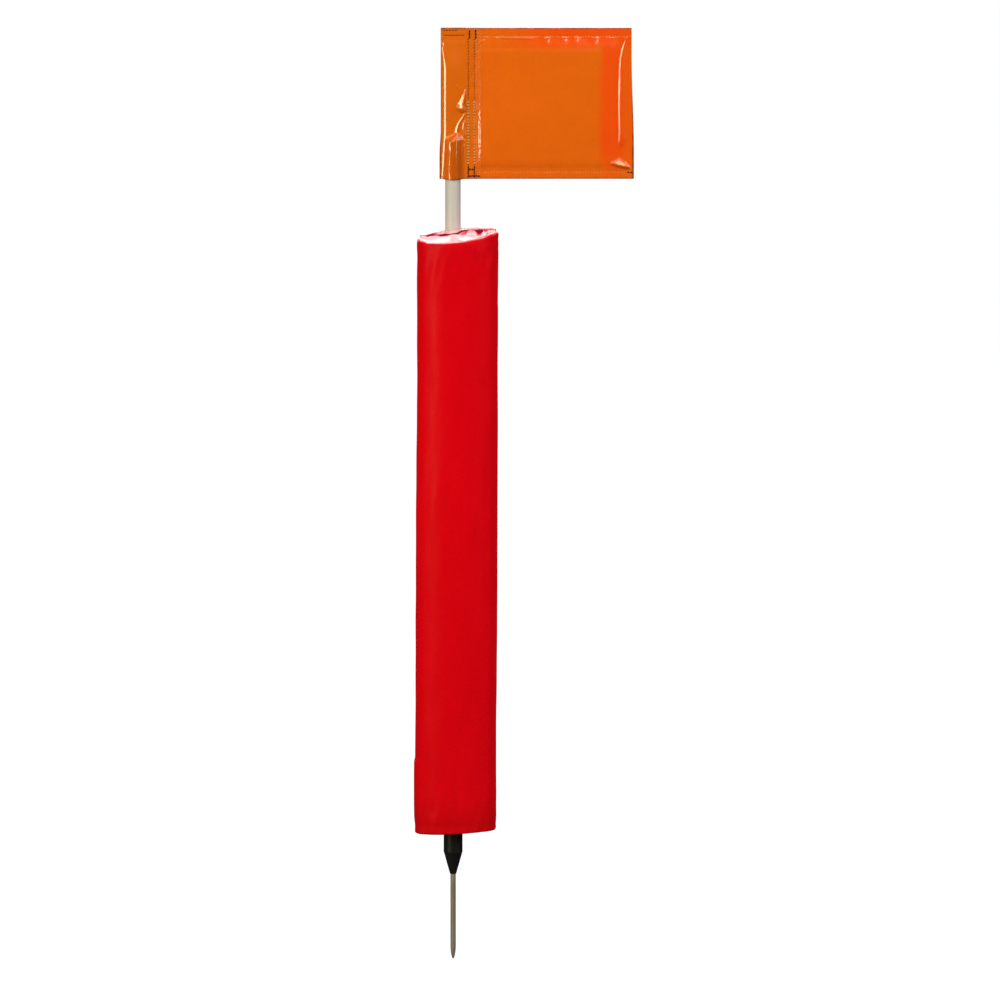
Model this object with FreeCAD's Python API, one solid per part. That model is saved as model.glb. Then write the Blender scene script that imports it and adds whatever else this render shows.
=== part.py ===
import FreeCAD, Part
import math
import os

# Driveway snow marker: a tubular pole on a steel ground spike, with a vinyl-covered foam pad
# around it and a stiffened vinyl flag whose sleeve slips over the pole's domed top.
#
# Row frame, millimetres: +Z up along the pole, +X the way the flag flies, -Y the marker's face.
# The origin is on the pole's axis where the spike leaves the ferrule, which is the ground line.

V = FreeCAD.Vector
UP = V(0, 0, 1)
OUT = "parts"

# Fits
PUSH_GAP = 0.05  # radial gap of a pushed or glued joint
TURN_GAP = 0.07  # radial gap of a piece that turns in a bore
SEAT_GAP = 0.05  # gap between faces that rest on each other across a joint

# Ground spike: drawn steel rod, ground to a point, with an upset head inside the ferrule
SPIKE_RADIUS = 3.5
SPIKE_TIP_Z = -112.0
SPIKE_POINT_LENGTH = 17.0
SPIKE_TIP_RADIUS = 1.2
SPIKE_HEAD_RADIUS = 6.0
SPIKE_HEAD_THICKNESS = 3.0
GRIP_GROOVE_DEPTH = 0.4
GRIP_GROOVE_HEIGHT = 1.5
GRIP_GROOVE_BASES = (0.0, 8.0, 16.0)

# Ferrule: moulded cup with a conical nose
FERRULE_RADIUS = 12.25
FERRULE_NOSE_RADIUS = 4.2
FERRULE_CONE_TOP_Z = 29.0
FERRULE_TOP_Z = 57.0
FERRULE_EDGE = 0.8
SOCKET_FLOOR_Z = 32.0

# Pole: extruded tube
POLE_RADIUS = 10.0
POLE_WALL = 1.6
POLE_TOP_Z = 953.0
FOOT_PLUG_LENGTH = 38.0
EDGE_BREAK = 0.4

# Pan-head screw through the ferrule and pole into the foot plug, from the back
SCREW_Z = 45.0
SCREW_RADIUS = 1.75
SCREW_POINT_Y = 3.0
SCREW_POINT_LENGTH = 3.0
SCREW_HEAD_RADIUS = 3.3
SCREW_HEAD_HEIGHT = 2.2
SCREW_HEAD_RIM = 0.7
SCREW_SEAT_Y = 11.7
RECESS_WIDTH = 0.9
RECESS_LENGTH = 3.4
RECESS_DEPTH = 1.3

# Rubber stop ring that the pad stands on
RING_RADIUS = 16.0
RING_HEIGHT = 2.0
RING_EDGE = 0.5

# Foam pad and its vinyl cover: an oval of four tangent arcs, set forward of the pole
PAD_CENTRE_X = 4.8
PAD_CENTRE_Y = -10.0
PAD_HALF_WIDTH = 52.0
PAD_HALF_DEPTH = 30.0
PAD_END_RADIUS = 22.0
PAD_BOTTOM_Z = 60.0
PAD_TOP_Z = 835.5  # at the middle of the slanted top
PAD_TOP_SLOPE_X = 0.107  # rise per millimetre towards +X
PAD_TOP_SLOPE_Y = 0.128  # rise per millimetre towards +Y
PAD_TOP_FLOOR = PAD_TOP_Z - 30.0  # level below all of the slanted top
PAD_TOP_CEILING = PAD_TOP_Z + 30.0  # level above all of it
PAD_BORE_RADIUS = 10.8
COVER_THICKNESS = 1.0
PANEL_THICKNESS = 1.2
SLIT_WIDTH = 0.6
SLIT_FRONT_Y = -12.6  # the slit runs along Y = 0 and bends forward to pass in front of the pole
SLIT_BEND_XS = (12.0, 24.0)
TAPE_WIDTH = 22.0
TAPE_THICKNESS = 0.8
TAPE_MARGIN = 6.0
EYELET_BORE = 10.4
EYELET_NECK_RADIUS = 12.4
EYELET_FLANGE_RADIUS = 16.0
EYELET_FLANGE = 0.9

# Domed cap that turns in the pole's top and carries the flag
CAP_STEM_LENGTH = 24.0
CAP_WALL = 1.5
CAP_RIM = 2.0
CAP_TOP_Z = 963.0

# Flag: one vinyl sheet folded at the fly edge over a stiffener, hemmed top and bottom
FLAG_BOTTOM_Z = 910.0
FLAG_TOP_Z = 1107.0
FLAG_LUFF_X = 17.0  # the sheet's edge inside the pole sleeve
FLAG_FLY_X = 233.0
VINYL = 0.6
HEM_WIDTH = 12.0
STIFFENER_THICKNESS = 1.1
STIFFENER_XS = (31.5, 192.0)
STIFFENER_ZS = (926.0, 1078.0)

# Pole sleeve of the flag: a strip folded round the pole, its two leaves sewn over the sheet
SLEEVE_FOLD_X = -16.0
SLEEVE_FOLD_RADIUS = 1.4
SLEEVE_LEAF_X = 31.0
SLEEVE_JOIN_X = 16.0
SLEEVE_POLE_RADIUS = 10.8
SLEEVE_EMPTY_RADIUS = 2.0  # half thickness of the empty sleeve above the pole
SLEEVE_TENT_Z = 957.0  # the sleeve narrows from here
SLEEVE_EMPTY_Z = 990.0  # to here
SLEEVE_CLOSE_Z = 1093.4

# Sewing, as plain strips that stand proud of the vinyl
STITCH_WIDTH = 0.8
STITCH_PROUD = 0.3
TACK_WIDTH = 1.3
TACK_PROUD = 0.5
TACK_LENGTH = 9.0
SEAM_XS = (20.0, 28.0)
HEM_SEAM_ZS = (919.0, 1096.0)
SLEEVE_TOP_SEAM_ZS = (1097.0, 1103.3)
SEAM_END_MARGIN = 1.5

FAR = 400.0  # longer than anything it has to cut through, across the pole


def turned(*points):
    """Solid of revolution about Z. Points are (radius, z); a third value marks the middle of an arc."""
    edges = []
    i = 0
    while i < len(points):
        start, middle, end = points[i], points[(i + 1) % len(points)], points[(i + 2) % len(points)]
        if len(middle) == 3:
            arc = Part.Arc(*(V(p[0], 0, p[1]) for p in (start, middle, end)))
            edges.append(arc.toShape())
            i += 2
        else:
            edges.append(Part.makeLine(V(start[0], 0, start[1]), V(middle[0], 0, middle[1])))
            i += 1
    return Part.Face(Part.Wire(edges)).revolve(V(0, 0, 0), UP, 360)


def dome_middle(radius, low, top):
    """Middle point, for turned, of the arc over a spherical dome from its rim to the axis."""
    height = top - low
    ball = (radius**2 + height**2) / (2 * height)
    centre = top - ball
    angle = math.atan2(radius, low - centre) / 2
    return (ball * math.sin(angle), centre + ball * math.cos(angle), "arc")


def rod(radius, low, high):
    return Part.makeCylinder(radius, high - low, V(0, 0, low), UP)


def rod_along_y(radius, low, high, z):
    return Part.makeCylinder(radius, high - low, V(0, low, z), V(0, 1, 0))


def block(x, y, z):
    """Box between two values along each axis."""
    return Part.makeBox(x[1] - x[0], y[1] - y[0], z[1] - z[0], V(x[0], y[0], z[0]))


def across(centre, width):
    return (centre - width / 2, centre + width / 2)


def export(name, *solids):
    shape = solids[0] if len(solids) == 1 else Part.makeCompound(list(solids))
    assert shape.isValid(), name
    shape.exportStep(os.path.join(OUT, name + ".step"))


# ---- ground end ----


def ground_spike():
    point_z = SPIKE_TIP_Z + SPIKE_POINT_LENGTH
    head_z = SOCKET_FLOOR_Z - SPIKE_HEAD_THICKNESS
    spike = turned(
        (0, SPIKE_TIP_Z),
        (SPIKE_TIP_RADIUS, SPIKE_TIP_Z + SPIKE_TIP_RADIUS / 2),
        (SPIKE_RADIUS * 0.8, SPIKE_TIP_Z + SPIKE_POINT_LENGTH * 0.45, "arc"),
        (SPIKE_RADIUS, point_z),
        (SPIKE_RADIUS, head_z),
        (SPIKE_HEAD_RADIUS, head_z),
        (SPIKE_HEAD_RADIUS, SOCKET_FLOOR_Z - EDGE_BREAK),
        (SPIKE_HEAD_RADIUS - EDGE_BREAK, SOCKET_FLOOR_Z),
        (0, SOCKET_FLOOR_Z),
    )
    for base in GRIP_GROOVE_BASES:
        groove = rod(SPIKE_RADIUS + 1, base, base + GRIP_GROOVE_HEIGHT)
        core = rod(SPIKE_RADIUS - GRIP_GROOVE_DEPTH, base, base + GRIP_GROOVE_HEIGHT)
        spike = spike.cut(groove.cut(core))
    return spike


def ferrule():
    bore = SPIKE_RADIUS + PUSH_GAP
    recess = SPIKE_HEAD_RADIUS + PUSH_GAP
    recess_z = SOCKET_FLOOR_Z - SPIKE_HEAD_THICKNESS
    socket = POLE_RADIUS + PUSH_GAP
    cup = turned(
        (bore, 0),
        (FERRULE_NOSE_RADIUS, 0),
        (FERRULE_RADIUS, FERRULE_CONE_TOP_Z),
        (FERRULE_RADIUS, FERRULE_TOP_Z - FERRULE_EDGE),
        (FERRULE_RADIUS - FERRULE_EDGE, FERRULE_TOP_Z),
        (socket, FERRULE_TOP_Z),
        (socket, SOCKET_FLOOR_Z),
        (recess, SOCKET_FLOOR_Z),
        (recess, recess_z),
        (bore, recess_z),
    )
    seat = rod_along_y(SCREW_HEAD_RADIUS + EDGE_BREAK, SCREW_SEAT_Y, FERRULE_RADIUS + 1, SCREW_Z)
    return cup.cut(seat).cut(screw_hole())


def screw_hole():
    return rod_along_y(SCREW_RADIUS + PUSH_GAP, SCREW_POINT_Y - PUSH_GAP, SCREW_SEAT_Y + 1, SCREW_Z)


def pole_tube():
    inner = POLE_RADIUS - POLE_WALL
    tube = turned(
        (inner, SOCKET_FLOOR_Z),
        (POLE_RADIUS, SOCKET_FLOOR_Z),
        (POLE_RADIUS, POLE_TOP_Z - EDGE_BREAK),
        (POLE_RADIUS - EDGE_BREAK, POLE_TOP_Z),
        (inner, POLE_TOP_Z),
    )
    return tube.cut(screw_hole())


def pole_foot_plug():
    radius = POLE_RADIUS - POLE_WALL - PUSH_GAP
    top = SOCKET_FLOOR_Z + FOOT_PLUG_LENGTH
    plug = turned(
        (0, SOCKET_FLOOR_Z),
        (radius, SOCKET_FLOOR_Z),
        (radius, top - EDGE_BREAK),
        (radius - EDGE_BREAK, top),
        (0, top),
    )
    return plug.cut(screw_hole())


def pole_screw():
    point_end = SCREW_POINT_Y + SCREW_POINT_LENGTH
    rim = SCREW_SEAT_Y + SCREW_HEAD_RIM
    screw = turned(
        (0, SCREW_POINT_Y),
        (SCREW_RADIUS, point_end),
        (SCREW_RADIUS, SCREW_SEAT_Y),
        (SCREW_HEAD_RADIUS, SCREW_SEAT_Y),
        (SCREW_HEAD_RADIUS, rim),
        dome_middle(SCREW_HEAD_RADIUS, rim, SCREW_SEAT_Y + SCREW_HEAD_HEIGHT),
        (0, SCREW_SEAT_Y + SCREW_HEAD_HEIGHT),
    )
    recess = (SCREW_SEAT_Y + SCREW_HEAD_HEIGHT - RECESS_DEPTH, SCREW_SEAT_Y + SCREW_HEAD_HEIGHT + 1)
    long_side = across(0, RECESS_LENGTH)
    short_side = across(0, RECESS_WIDTH)
    screw = screw.cut(block(long_side, short_side, recess)).cut(block(short_side, long_side, recess))
    screw.rotate(V(0, 0, 0), V(1, 0, 0), -90)  # its axis, made along Z, turns to +Y
    screw.translate(V(0, 0, SCREW_Z))
    return screw


def stop_ring():
    low = FERRULE_TOP_Z + SEAT_GAP
    high = low + RING_HEIGHT
    bore = POLE_RADIUS + TURN_GAP
    return turned(
        (bore, low),
        (RING_RADIUS - RING_EDGE, low),
        (RING_RADIUS, (low + high) / 2, "arc"),
        (RING_RADIUS - RING_EDGE, high),
        (bore, high),
    )


# ---- pad ----


def oval(offset, low, high):
    """Prism of the pad's four-arc oval, grown outwards by offset."""
    end_x = PAD_HALF_WIDTH - PAD_END_RADIUS
    depth_drop = PAD_HALF_DEPTH - PAD_END_RADIUS
    side_radius = (end_x**2 + PAD_HALF_DEPTH**2 - PAD_END_RADIUS**2) / (2 * depth_drop)
    side_y = side_radius - PAD_HALF_DEPTH
    end_radius, side = PAD_END_RADIUS + offset, side_radius + offset
    lean = math.atan2(side_y, end_x)  # from an end arc's centre towards where it meets a side arc
    joint = V(end_x + end_radius * math.cos(lean), end_radius * math.sin(lean), 0)
    corners = [V(sx * joint.x, sy * joint.y, 0) for sx, sy in ((1, 1), (-1, 1), (-1, -1), (1, -1))]
    middles = [V(0, side - side_y, 0), V(-end_x - end_radius, 0, 0)]
    middles += [-m for m in middles]
    arcs = [
        Part.Arc(corners[i], middles[i], corners[(i + 1) % len(corners)]).toShape()
        for i in range(len(corners))
    ]
    prism = Part.Face(Part.Wire(arcs)).extrude(V(0, 0, high - low))
    prism.translate(V(PAD_CENTRE_X, PAD_CENTRE_Y, low))
    return prism


def above_pad_top(drop):
    """Everything above the pad's slanted top plane, lowered by drop."""
    half_space = Part.makeBox(FAR, FAR, FAR, V(-FAR / 2, -FAR / 2, 0))
    normal = V(-PAD_TOP_SLOPE_X, -PAD_TOP_SLOPE_Y, 1)
    place = FreeCAD.Placement(
        V(PAD_CENTRE_X, PAD_CENTRE_Y, PAD_TOP_Z - drop), FreeCAD.Rotation(UP, normal)
    )
    half_space.Placement = place
    return half_space


def pad_foam():
    low = PAD_BOTTOM_Z + PANEL_THICKNESS
    foam = oval(-COVER_THICKNESS, low, PAD_TOP_CEILING).cut(above_pad_top(PANEL_THICKNESS))
    foam = foam.cut(rod(PAD_BORE_RADIUS, low - 1, PAD_TOP_CEILING + 1))
    recess_top = low + EYELET_FLANGE + SEAT_GAP
    return foam.cut(rod(EYELET_FLANGE_RADIUS + PUSH_GAP, low - 1, recess_top))


def pad_cover():
    outer = oval(0, PAD_BOTTOM_Z, PAD_TOP_CEILING)
    inner = oval(-COVER_THICKNESS, PAD_BOTTOM_Z - 1, PAD_TOP_CEILING + 1)
    return outer.cut(inner).cut(above_pad_top(0))


def pad_cover_back_tape():
    low, high = PAD_BOTTOM_Z + TAPE_MARGIN, PAD_TOP_Z - TAPE_MARGIN
    skin = oval(TAPE_THICKNESS, low, high).cut(oval(0, low - 1, high + 1))
    return skin.common(block(across(PAD_CENTRE_X, TAPE_WIDTH), (PAD_CENTRE_Y, FAR), (low, high)))


def pad_top_flap(side):
    """Half of the slanted top closure. Side -1 is in front of the slit, and 1 is behind it."""
    near, far = SLIT_BEND_XS
    slit = [(-FAR, 0), (-far, 0), (-near, SLIT_FRONT_Y), (near, SLIT_FRONT_Y), (far, 0), (FAR, 0)]
    corners = [V(x, y + side * SLIT_WIDTH / 2, PAD_TOP_FLOOR) for x, y in slit]
    corners += [V(FAR, side * FAR, PAD_TOP_FLOOR), V(-FAR, side * FAR, PAD_TOP_FLOOR), corners[0]]
    region = Part.Face(Part.makePolygon(corners)).extrude(V(0, 0, PAD_TOP_CEILING - PAD_TOP_FLOOR))
    slab = oval(-COVER_THICKNESS, PAD_TOP_FLOOR, PAD_TOP_CEILING).cut(above_pad_top(0))
    slab = slab.common(above_pad_top(PANEL_THICKNESS))
    return slab.cut(rod(PAD_BORE_RADIUS, PAD_TOP_FLOOR, PAD_TOP_CEILING)).common(region)


def pad_bottom_panel():
    panel = oval(-COVER_THICKNESS, PAD_BOTTOM_Z, PAD_BOTTOM_Z + PANEL_THICKNESS)
    hole = rod(EYELET_NECK_RADIUS + PUSH_GAP, PAD_BOTTOM_Z - 1, PAD_BOTTOM_Z + PANEL_THICKNESS + 1)
    return panel.cut(hole)


def pad_bottom_eyelet():
    low = PAD_BOTTOM_Z - EYELET_FLANGE
    high = PAD_BOTTOM_Z + PANEL_THICKNESS + EYELET_FLANGE
    return turned(
        (EYELET_BORE, low),
        (EYELET_FLANGE_RADIUS - EDGE_BREAK, low),
        (EYELET_FLANGE_RADIUS, low + EDGE_BREAK),
        (EYELET_FLANGE_RADIUS, PAD_BOTTOM_Z),
        (EYELET_NECK_RADIUS, PAD_BOTTOM_Z),
        (EYELET_NECK_RADIUS, PAD_BOTTOM_Z + PANEL_THICKNESS),
        (EYELET_FLANGE_RADIUS, PAD_BOTTOM_Z + PANEL_THICKNESS),
        (EYELET_FLANGE_RADIUS, high),
        (EYELET_BORE, high),
    )


# ---- pole top ----


def pole_cap():
    stem = POLE_RADIUS - POLE_WALL - TURN_GAP
    stem_z = POLE_TOP_Z - CAP_STEM_LENGTH
    seat = POLE_TOP_Z + SEAT_GAP
    rim = seat + CAP_RIM
    hollow = stem - CAP_WALL
    return turned(
        (hollow, stem_z),
        (stem - EDGE_BREAK, stem_z),
        (stem, stem_z + EDGE_BREAK),
        (stem, seat),
        (POLE_RADIUS, seat),
        (POLE_RADIUS, rim),
        dome_middle(POLE_RADIUS, rim, CAP_TOP_Z),
        (0, CAP_TOP_Z),
        (0, rim),
        (hollow, seat),
    )


# ---- flag ----


def flag_sheet():
    half = VINYL * 2  # the hems hold two layers each side of the middle
    body = block((FLAG_LUFF_X, FLAG_FLY_X), (-half, half), (FLAG_BOTTOM_Z, FLAG_TOP_Z))
    pocket = block(
        (FLAG_LUFF_X - 1, FLAG_FLY_X - HEM_WIDTH),
        (-VINYL, VINYL),
        (FLAG_BOTTOM_Z + HEM_WIDTH, FLAG_TOP_Z - HEM_WIDTH),
    )
    return body.cut(pocket)


def flag_stiffener():
    return block(STIFFENER_XS, across(0, STIFFENER_THICKNESS), STIFFENER_ZS)


def tangent_point(centre, radius, point, side):
    """Where the line from point touches the circle, on the side of the X axis that side names."""
    away = point - centre
    swing = side * math.acos(radius / away.Length)
    angle = math.atan2(away.y, away.x) + swing
    return centre + V(radius * math.cos(angle), radius * math.sin(angle), 0)


def pocket_outline(radius, grow, z):
    """Wire round a folded strip's inside, grown by grow: a fold, a bulge round a rod, and a slot."""
    slot_half = VINYL * 2 + grow
    bulge, fold = radius + grow, SLEEVE_FOLD_RADIUS + grow
    fold_centre = V(SLEEVE_FOLD_X + VINYL + SLEEVE_FOLD_RADIUS, 0, 0)
    lean = math.acos((bulge - fold) / -fold_centre.x)  # of the outer tangent between both circles
    join = V(SLEEVE_JOIN_X - grow, slot_half, 0)
    upper = [
        V(SLEEVE_LEAF_X + 1, slot_half, 0),
        join,
        tangent_point(V(0, 0, 0), bulge, join, 1),
        V(-bulge * math.cos(lean), bulge * math.sin(lean), 0),
        fold_centre + V(-fold * math.cos(lean), fold * math.sin(lean), 0),
    ]
    lower = [V(p.x, -p.y, 0) for p in upper]
    edges = []
    for side, points in ((1, upper), (-1, lower)):
        edges.append(Part.makeLine(points[0], points[1]))
        edges.append(Part.makeLine(points[1], points[2]))
        edges.append(Part.Arc(points[2], V(0, side * bulge, 0), points[3]).toShape())
        edges.append(Part.makeLine(points[3], points[4]))
    edges.append(Part.Arc(upper[4], fold_centre - V(fold, 0, 0), lower[4]).toShape())
    edges.append(Part.makeLine(upper[0], lower[0]))
    wire = Part.Wire(Part.__sortEdges__(edges))
    wire.translate(V(0, 0, z))
    return wire


def pocket_filling(grow, *sections):
    """Solid through the pocket's outlines. Sections are (radius, z), from the bottom up."""
    solids = [
        Part.makeLoft([pocket_outline(radius, grow, z) for radius, z in pair], True, True)
        for pair in zip(sections, sections[1:])
    ]
    return solids[0].fuse(solids[1:])


def flag_pole_sleeve():
    """Round where it grips the pole, narrowing over the cap, empty above and sewn flat on top."""
    tent = ((SLEEVE_POLE_RADIUS, SLEEVE_TENT_Z), (SLEEVE_EMPTY_RADIUS, SLEEVE_EMPTY_Z))
    top = (SLEEVE_EMPTY_RADIUS, SLEEVE_CLOSE_Z)
    outer = pocket_filling(VINYL, (SLEEVE_POLE_RADIUS, FLAG_BOTTOM_Z), *tent, top)
    inner = pocket_filling(0, (SLEEVE_POLE_RADIUS, FLAG_BOTTOM_Z - 1), *tent, top)
    lid = Part.Face(pocket_outline(SLEEVE_EMPTY_RADIUS, VINYL, SLEEVE_CLOSE_Z))
    lid = lid.extrude(V(0, 0, VINYL))
    lid_top = SLEEVE_CLOSE_Z + VINYL
    tab = block((SLEEVE_FOLD_X, SLEEVE_JOIN_X), (-VINYL, VINYL), (lid_top, FLAG_TOP_Z))
    leaves = block(
        (SLEEVE_JOIN_X - VINYL, SLEEVE_LEAF_X), (-VINYL * 3, VINYL * 3), (lid_top, FLAG_TOP_Z)
    )
    sleeve = outer.cut(inner).fuse([lid, tab, leaves])
    sheet_slot = block(
        (FLAG_LUFF_X, FAR), (-VINYL * 2, VINYL * 2), (FLAG_BOTTOM_Z - 1, FLAG_TOP_Z + 1)
    )
    past_leaves = block((SLEEVE_LEAF_X, FAR), (-FAR, FAR), (0, FLAG_TOP_Z + 1))
    return sleeve.cut(sheet_slot).cut(past_leaves).removeSplitter()


def strips_both_sides(face_y, proud, spans):
    """Strips on the front and back faces at face_y. Spans are (x range, z range)."""
    return [
        block(x, y, z)
        for x, z in spans
        for y in ((-face_y - proud, -face_y), (face_y, face_y + proud))
    ]


def pocket_stitch_rows():
    tack = SEAM_END_MARGIN + TACK_LENGTH
    spans = [
        (across(x, STITCH_WIDTH), (FLAG_BOTTOM_Z + tack, FLAG_TOP_Z - tack)) for x in SEAM_XS
    ]
    return strips_both_sides(VINYL * 3, STITCH_PROUD, spans)


def pocket_bar_tacks():
    tack = SEAM_END_MARGIN + TACK_LENGTH
    ends = (
        (FLAG_BOTTOM_Z + SEAM_END_MARGIN, FLAG_BOTTOM_Z + tack),
        (FLAG_TOP_Z - tack, FLAG_TOP_Z - SEAM_END_MARGIN),
    )
    spans = [(across(x, TACK_WIDTH), end) for x in SEAM_XS for end in ends]
    return strips_both_sides(VINYL * 3, TACK_PROUD, spans)


def hem_stitch_rows():
    x = (SLEEVE_LEAF_X + SEAM_END_MARGIN, FLAG_FLY_X - SEAM_END_MARGIN)
    spans = [(x, across(z, STITCH_WIDTH)) for z in HEM_SEAM_ZS]
    return strips_both_sides(VINYL * 2, STITCH_PROUD, spans)


def sleeve_top_stitch_rows():
    x = (SLEEVE_FOLD_X + SEAM_END_MARGIN, SLEEVE_JOIN_X - SEAM_END_MARGIN)
    spans = [(x, across(z, STITCH_WIDTH)) for z in SLEEVE_TOP_SEAM_ZS]
    return strips_both_sides(VINYL, STITCH_PROUD, spans)


def main():
    os.makedirs(OUT, exist_ok=True)
    export("ground_spike", ground_spike())
    export("ferrule", ferrule())
    export("pole_foot_plug", pole_foot_plug())
    export("pole_screw", pole_screw())
    export("pole_tube", pole_tube())
    export("stop_ring", stop_ring())
    export("pad_foam", pad_foam())
    export("pad_cover", pad_cover())
    export("pad_cover_back_tape", pad_cover_back_tape())
    export("pad_top_front_flap", pad_top_flap(-1))
    export("pad_top_back_flap", pad_top_flap(1))
    export("pad_bottom_panel", pad_bottom_panel())
    export("pad_bottom_eyelet", pad_bottom_eyelet())
    export("pole_cap", pole_cap())
    export("flag_sheet", flag_sheet())
    export("flag_stiffener", flag_stiffener())
    export("flag_pole_sleeve", flag_pole_sleeve())
    export("pocket_stitch_rows", *pocket_stitch_rows())
    export("pocket_bar_tacks", *pocket_bar_tacks())
    export("hem_stitch_rows", *hem_stitch_rows())
    export("sleeve_top_stitch_rows", *sleeve_top_stitch_rows())


main()
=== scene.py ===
"""Looks of the driveway snow marker: vinyl, thread, finishes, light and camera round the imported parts.

Shapes are worked out in millimetres in the row frame, and become metres when a mesh is made.
"""

import functools
import math

import bpy
import numpy as np
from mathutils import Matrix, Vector

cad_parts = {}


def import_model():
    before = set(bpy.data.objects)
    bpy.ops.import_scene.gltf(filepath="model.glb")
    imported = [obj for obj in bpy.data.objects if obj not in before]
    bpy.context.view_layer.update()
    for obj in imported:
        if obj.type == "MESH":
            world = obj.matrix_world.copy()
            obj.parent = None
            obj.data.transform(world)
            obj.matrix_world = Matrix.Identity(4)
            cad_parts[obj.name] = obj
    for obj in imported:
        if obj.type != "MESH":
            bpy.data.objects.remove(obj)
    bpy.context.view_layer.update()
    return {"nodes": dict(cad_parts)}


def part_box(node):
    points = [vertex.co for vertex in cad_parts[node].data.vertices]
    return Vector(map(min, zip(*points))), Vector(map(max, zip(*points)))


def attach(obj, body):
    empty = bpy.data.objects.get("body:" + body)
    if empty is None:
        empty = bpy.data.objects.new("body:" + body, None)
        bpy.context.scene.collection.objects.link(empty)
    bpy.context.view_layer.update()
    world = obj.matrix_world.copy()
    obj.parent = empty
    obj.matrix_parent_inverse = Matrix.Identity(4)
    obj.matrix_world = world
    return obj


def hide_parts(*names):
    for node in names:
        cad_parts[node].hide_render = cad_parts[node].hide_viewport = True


MM = 0.001
TAU = 2 * math.pi
RIPPLE_WAVES = 10
CREASE_FULLNESS = 2.5  # the more, the shorter a crease's tapered ends

# Camera: far away with a long lens, a little above the middle of the marker
CAMERA_AIM = Vector((0.0606, 0.0, 0.4899))
CAMERA_DISTANCE = 43.0
CAMERA_ELEVATION = math.radians(10.0)
CAMERA_LENS = 1200.0

# Pad: the same four-arc oval and slanted top as the CAD part
PAD_CENTRE = (4.8, -10.0)
PAD_END_RADIUS = 22.0
PAD_TOP_Z = 835.5
PAD_TOP_SLOPE = (0.107, 0.128)
PAD_LEAN = 1.7  # the top's and bottom's sideways shift, opposite ways
PAD_FOOT_ROUND = 2.0
PAD_FOOT_TURN_IN = 8.0  # how far the wall runs in under the pad
PAD_FOOT_DROP = 4.4  # how much lower the foot hangs at its left end
PAD_FOOT_DROP_XS = (50, -60)
PAD_FOOT_HOLE = 13.0  # the foot panel's hole, under the eyelet
PAD_RIM_ROUND = 3.0
PAD_RIM_TURN_IN = 3.0
PAD_ROUND_STEPS = 6
PAD_RING_POINTS = 260
PAD_BODY_ROWS = 250
SLIT_FRONT_Y = -17.0
SLIT_BEND_XS = (24, 2)  # where the slit starts to bend forward, and where it is in front of the pole
SLIT_END_ANGLE = math.radians(27.0)
POLE_HOLE = 10.5
FLAP_RIM_SHARE = (0.975, 0.955)  # how much of the oval's width and depth the flaps fill
FOOT_PANEL_SHARE = (0.93, 0.9)
SKIN = 0.9
TAPE_SKIN = 0.6

# Flag
LEAF_X = 31.0
FLY_NARROWING = 3.0  # the fly edge is this much nearer the pole at the top
FOLD_SPREAD = 1.6  # the sleeve's fold is this much further out at the foot
HEM = 12.0
POLE_GRIP_RADIUS = 11.4
VINYL_SKIN = 0.45
FLY_BEND = 1.0  # radius of the sheet's fold at the fly edge
SEAM_XS = (19.8, 27.6)
STITCH_PITCH = 3.8
THREAD_FLATNESS = 0.6


# ---------------------------------------------------------------- shape helpers


@functools.cache
def box_mm(node):
    """Lowest and highest corner of a CAD node, in millimetres."""
    return [np.array(corner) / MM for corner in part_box(node)]


def smooth(low, high, value):
    """0 up to low, 1 from high on, with an even curve between. High may be under low."""
    t = np.clip((value - low) / (high - low), 0, 1)
    return t * t * (3 - 2 * t)


def bell(value, centre, width):
    return np.exp(-(((value - centre) / width) ** 2))


def humps(value, rows):
    """Sum of rounded rises. Each row is (height, centre, width)."""
    return sum(height * bell(value, centre, width) for height, centre, width in rows)


def ripple(u, v, size, seed):
    """Smooth random height of about -1 to 1, in lumps about size across."""
    dice = np.random.default_rng(seed)
    total = 0
    for _ in range(RIPPLE_WAVES):
        turn, shift = dice.uniform(0, TAU, 2)
        wave = size * dice.uniform(1.3, 2.8)
        total = total + np.sin((u * math.cos(turn) + v * math.sin(turn)) * TAU / wave + shift)
    return total / math.sqrt(RIPPLE_WAVES)


def lumps(u, v, rows):
    """Sum of ripples. Each row is (height, share of v, size, seed)."""
    return sum(height * ripple(u, v * share, size, seed) for height, share, size, seed in rows)


def crease(u, v, path, width, height):
    """Height of a pinched fold that follows a path of points and tapers to its ends."""
    path = np.array(path, float)
    steps = np.diff(path, axis=0)
    lengths = np.hypot(*steps.T)
    nearest = np.full(np.shape(u), np.inf)
    where = np.zeros(np.shape(u))
    start = 0.0
    for point, step, length in zip(path, steps, lengths):
        along = ((u - point[0]) * step[0] + (v - point[1]) * step[1]) / length**2
        along = np.clip(along, 0, 1)
        gap = np.hypot(u - point[0] - along * step[0], v - point[1] - along * step[1])
        where = np.where(gap < nearest, start + along * length, where)
        nearest = np.minimum(gap, nearest)
        start += length
    taper = np.clip(CREASE_FULLNESS * np.sin(math.pi * where / lengths.sum()), 0, 1)
    return height * taper * np.exp(-((nearest / width) ** 2))


def facet(u, v, edges, slope, fall):
    """Height of a flat facet that rises from its near edge to its far one, then falls away.

    Each of its edges' rows is (v, near u, far u), from the lowest v up.
    """
    levels, near, far = np.array(edges, float).T
    near = np.interp(v, levels, near)
    far = np.interp(v, levels, far)
    return slope * np.clip(u - near, 0, far - near) * smooth(fall, 0, u - far)


def mesh_object(name, points, faces):
    mesh = bpy.data.meshes.new(name)
    mesh.from_pydata((np.asarray(points) * MM).tolist(), [], np.asarray(faces).tolist())
    mesh.polygons.foreach_set("use_smooth", [True] * len(mesh.polygons))
    made = bpy.data.objects.new(name, mesh)
    bpy.context.scene.collection.objects.link(made)
    return made


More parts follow.
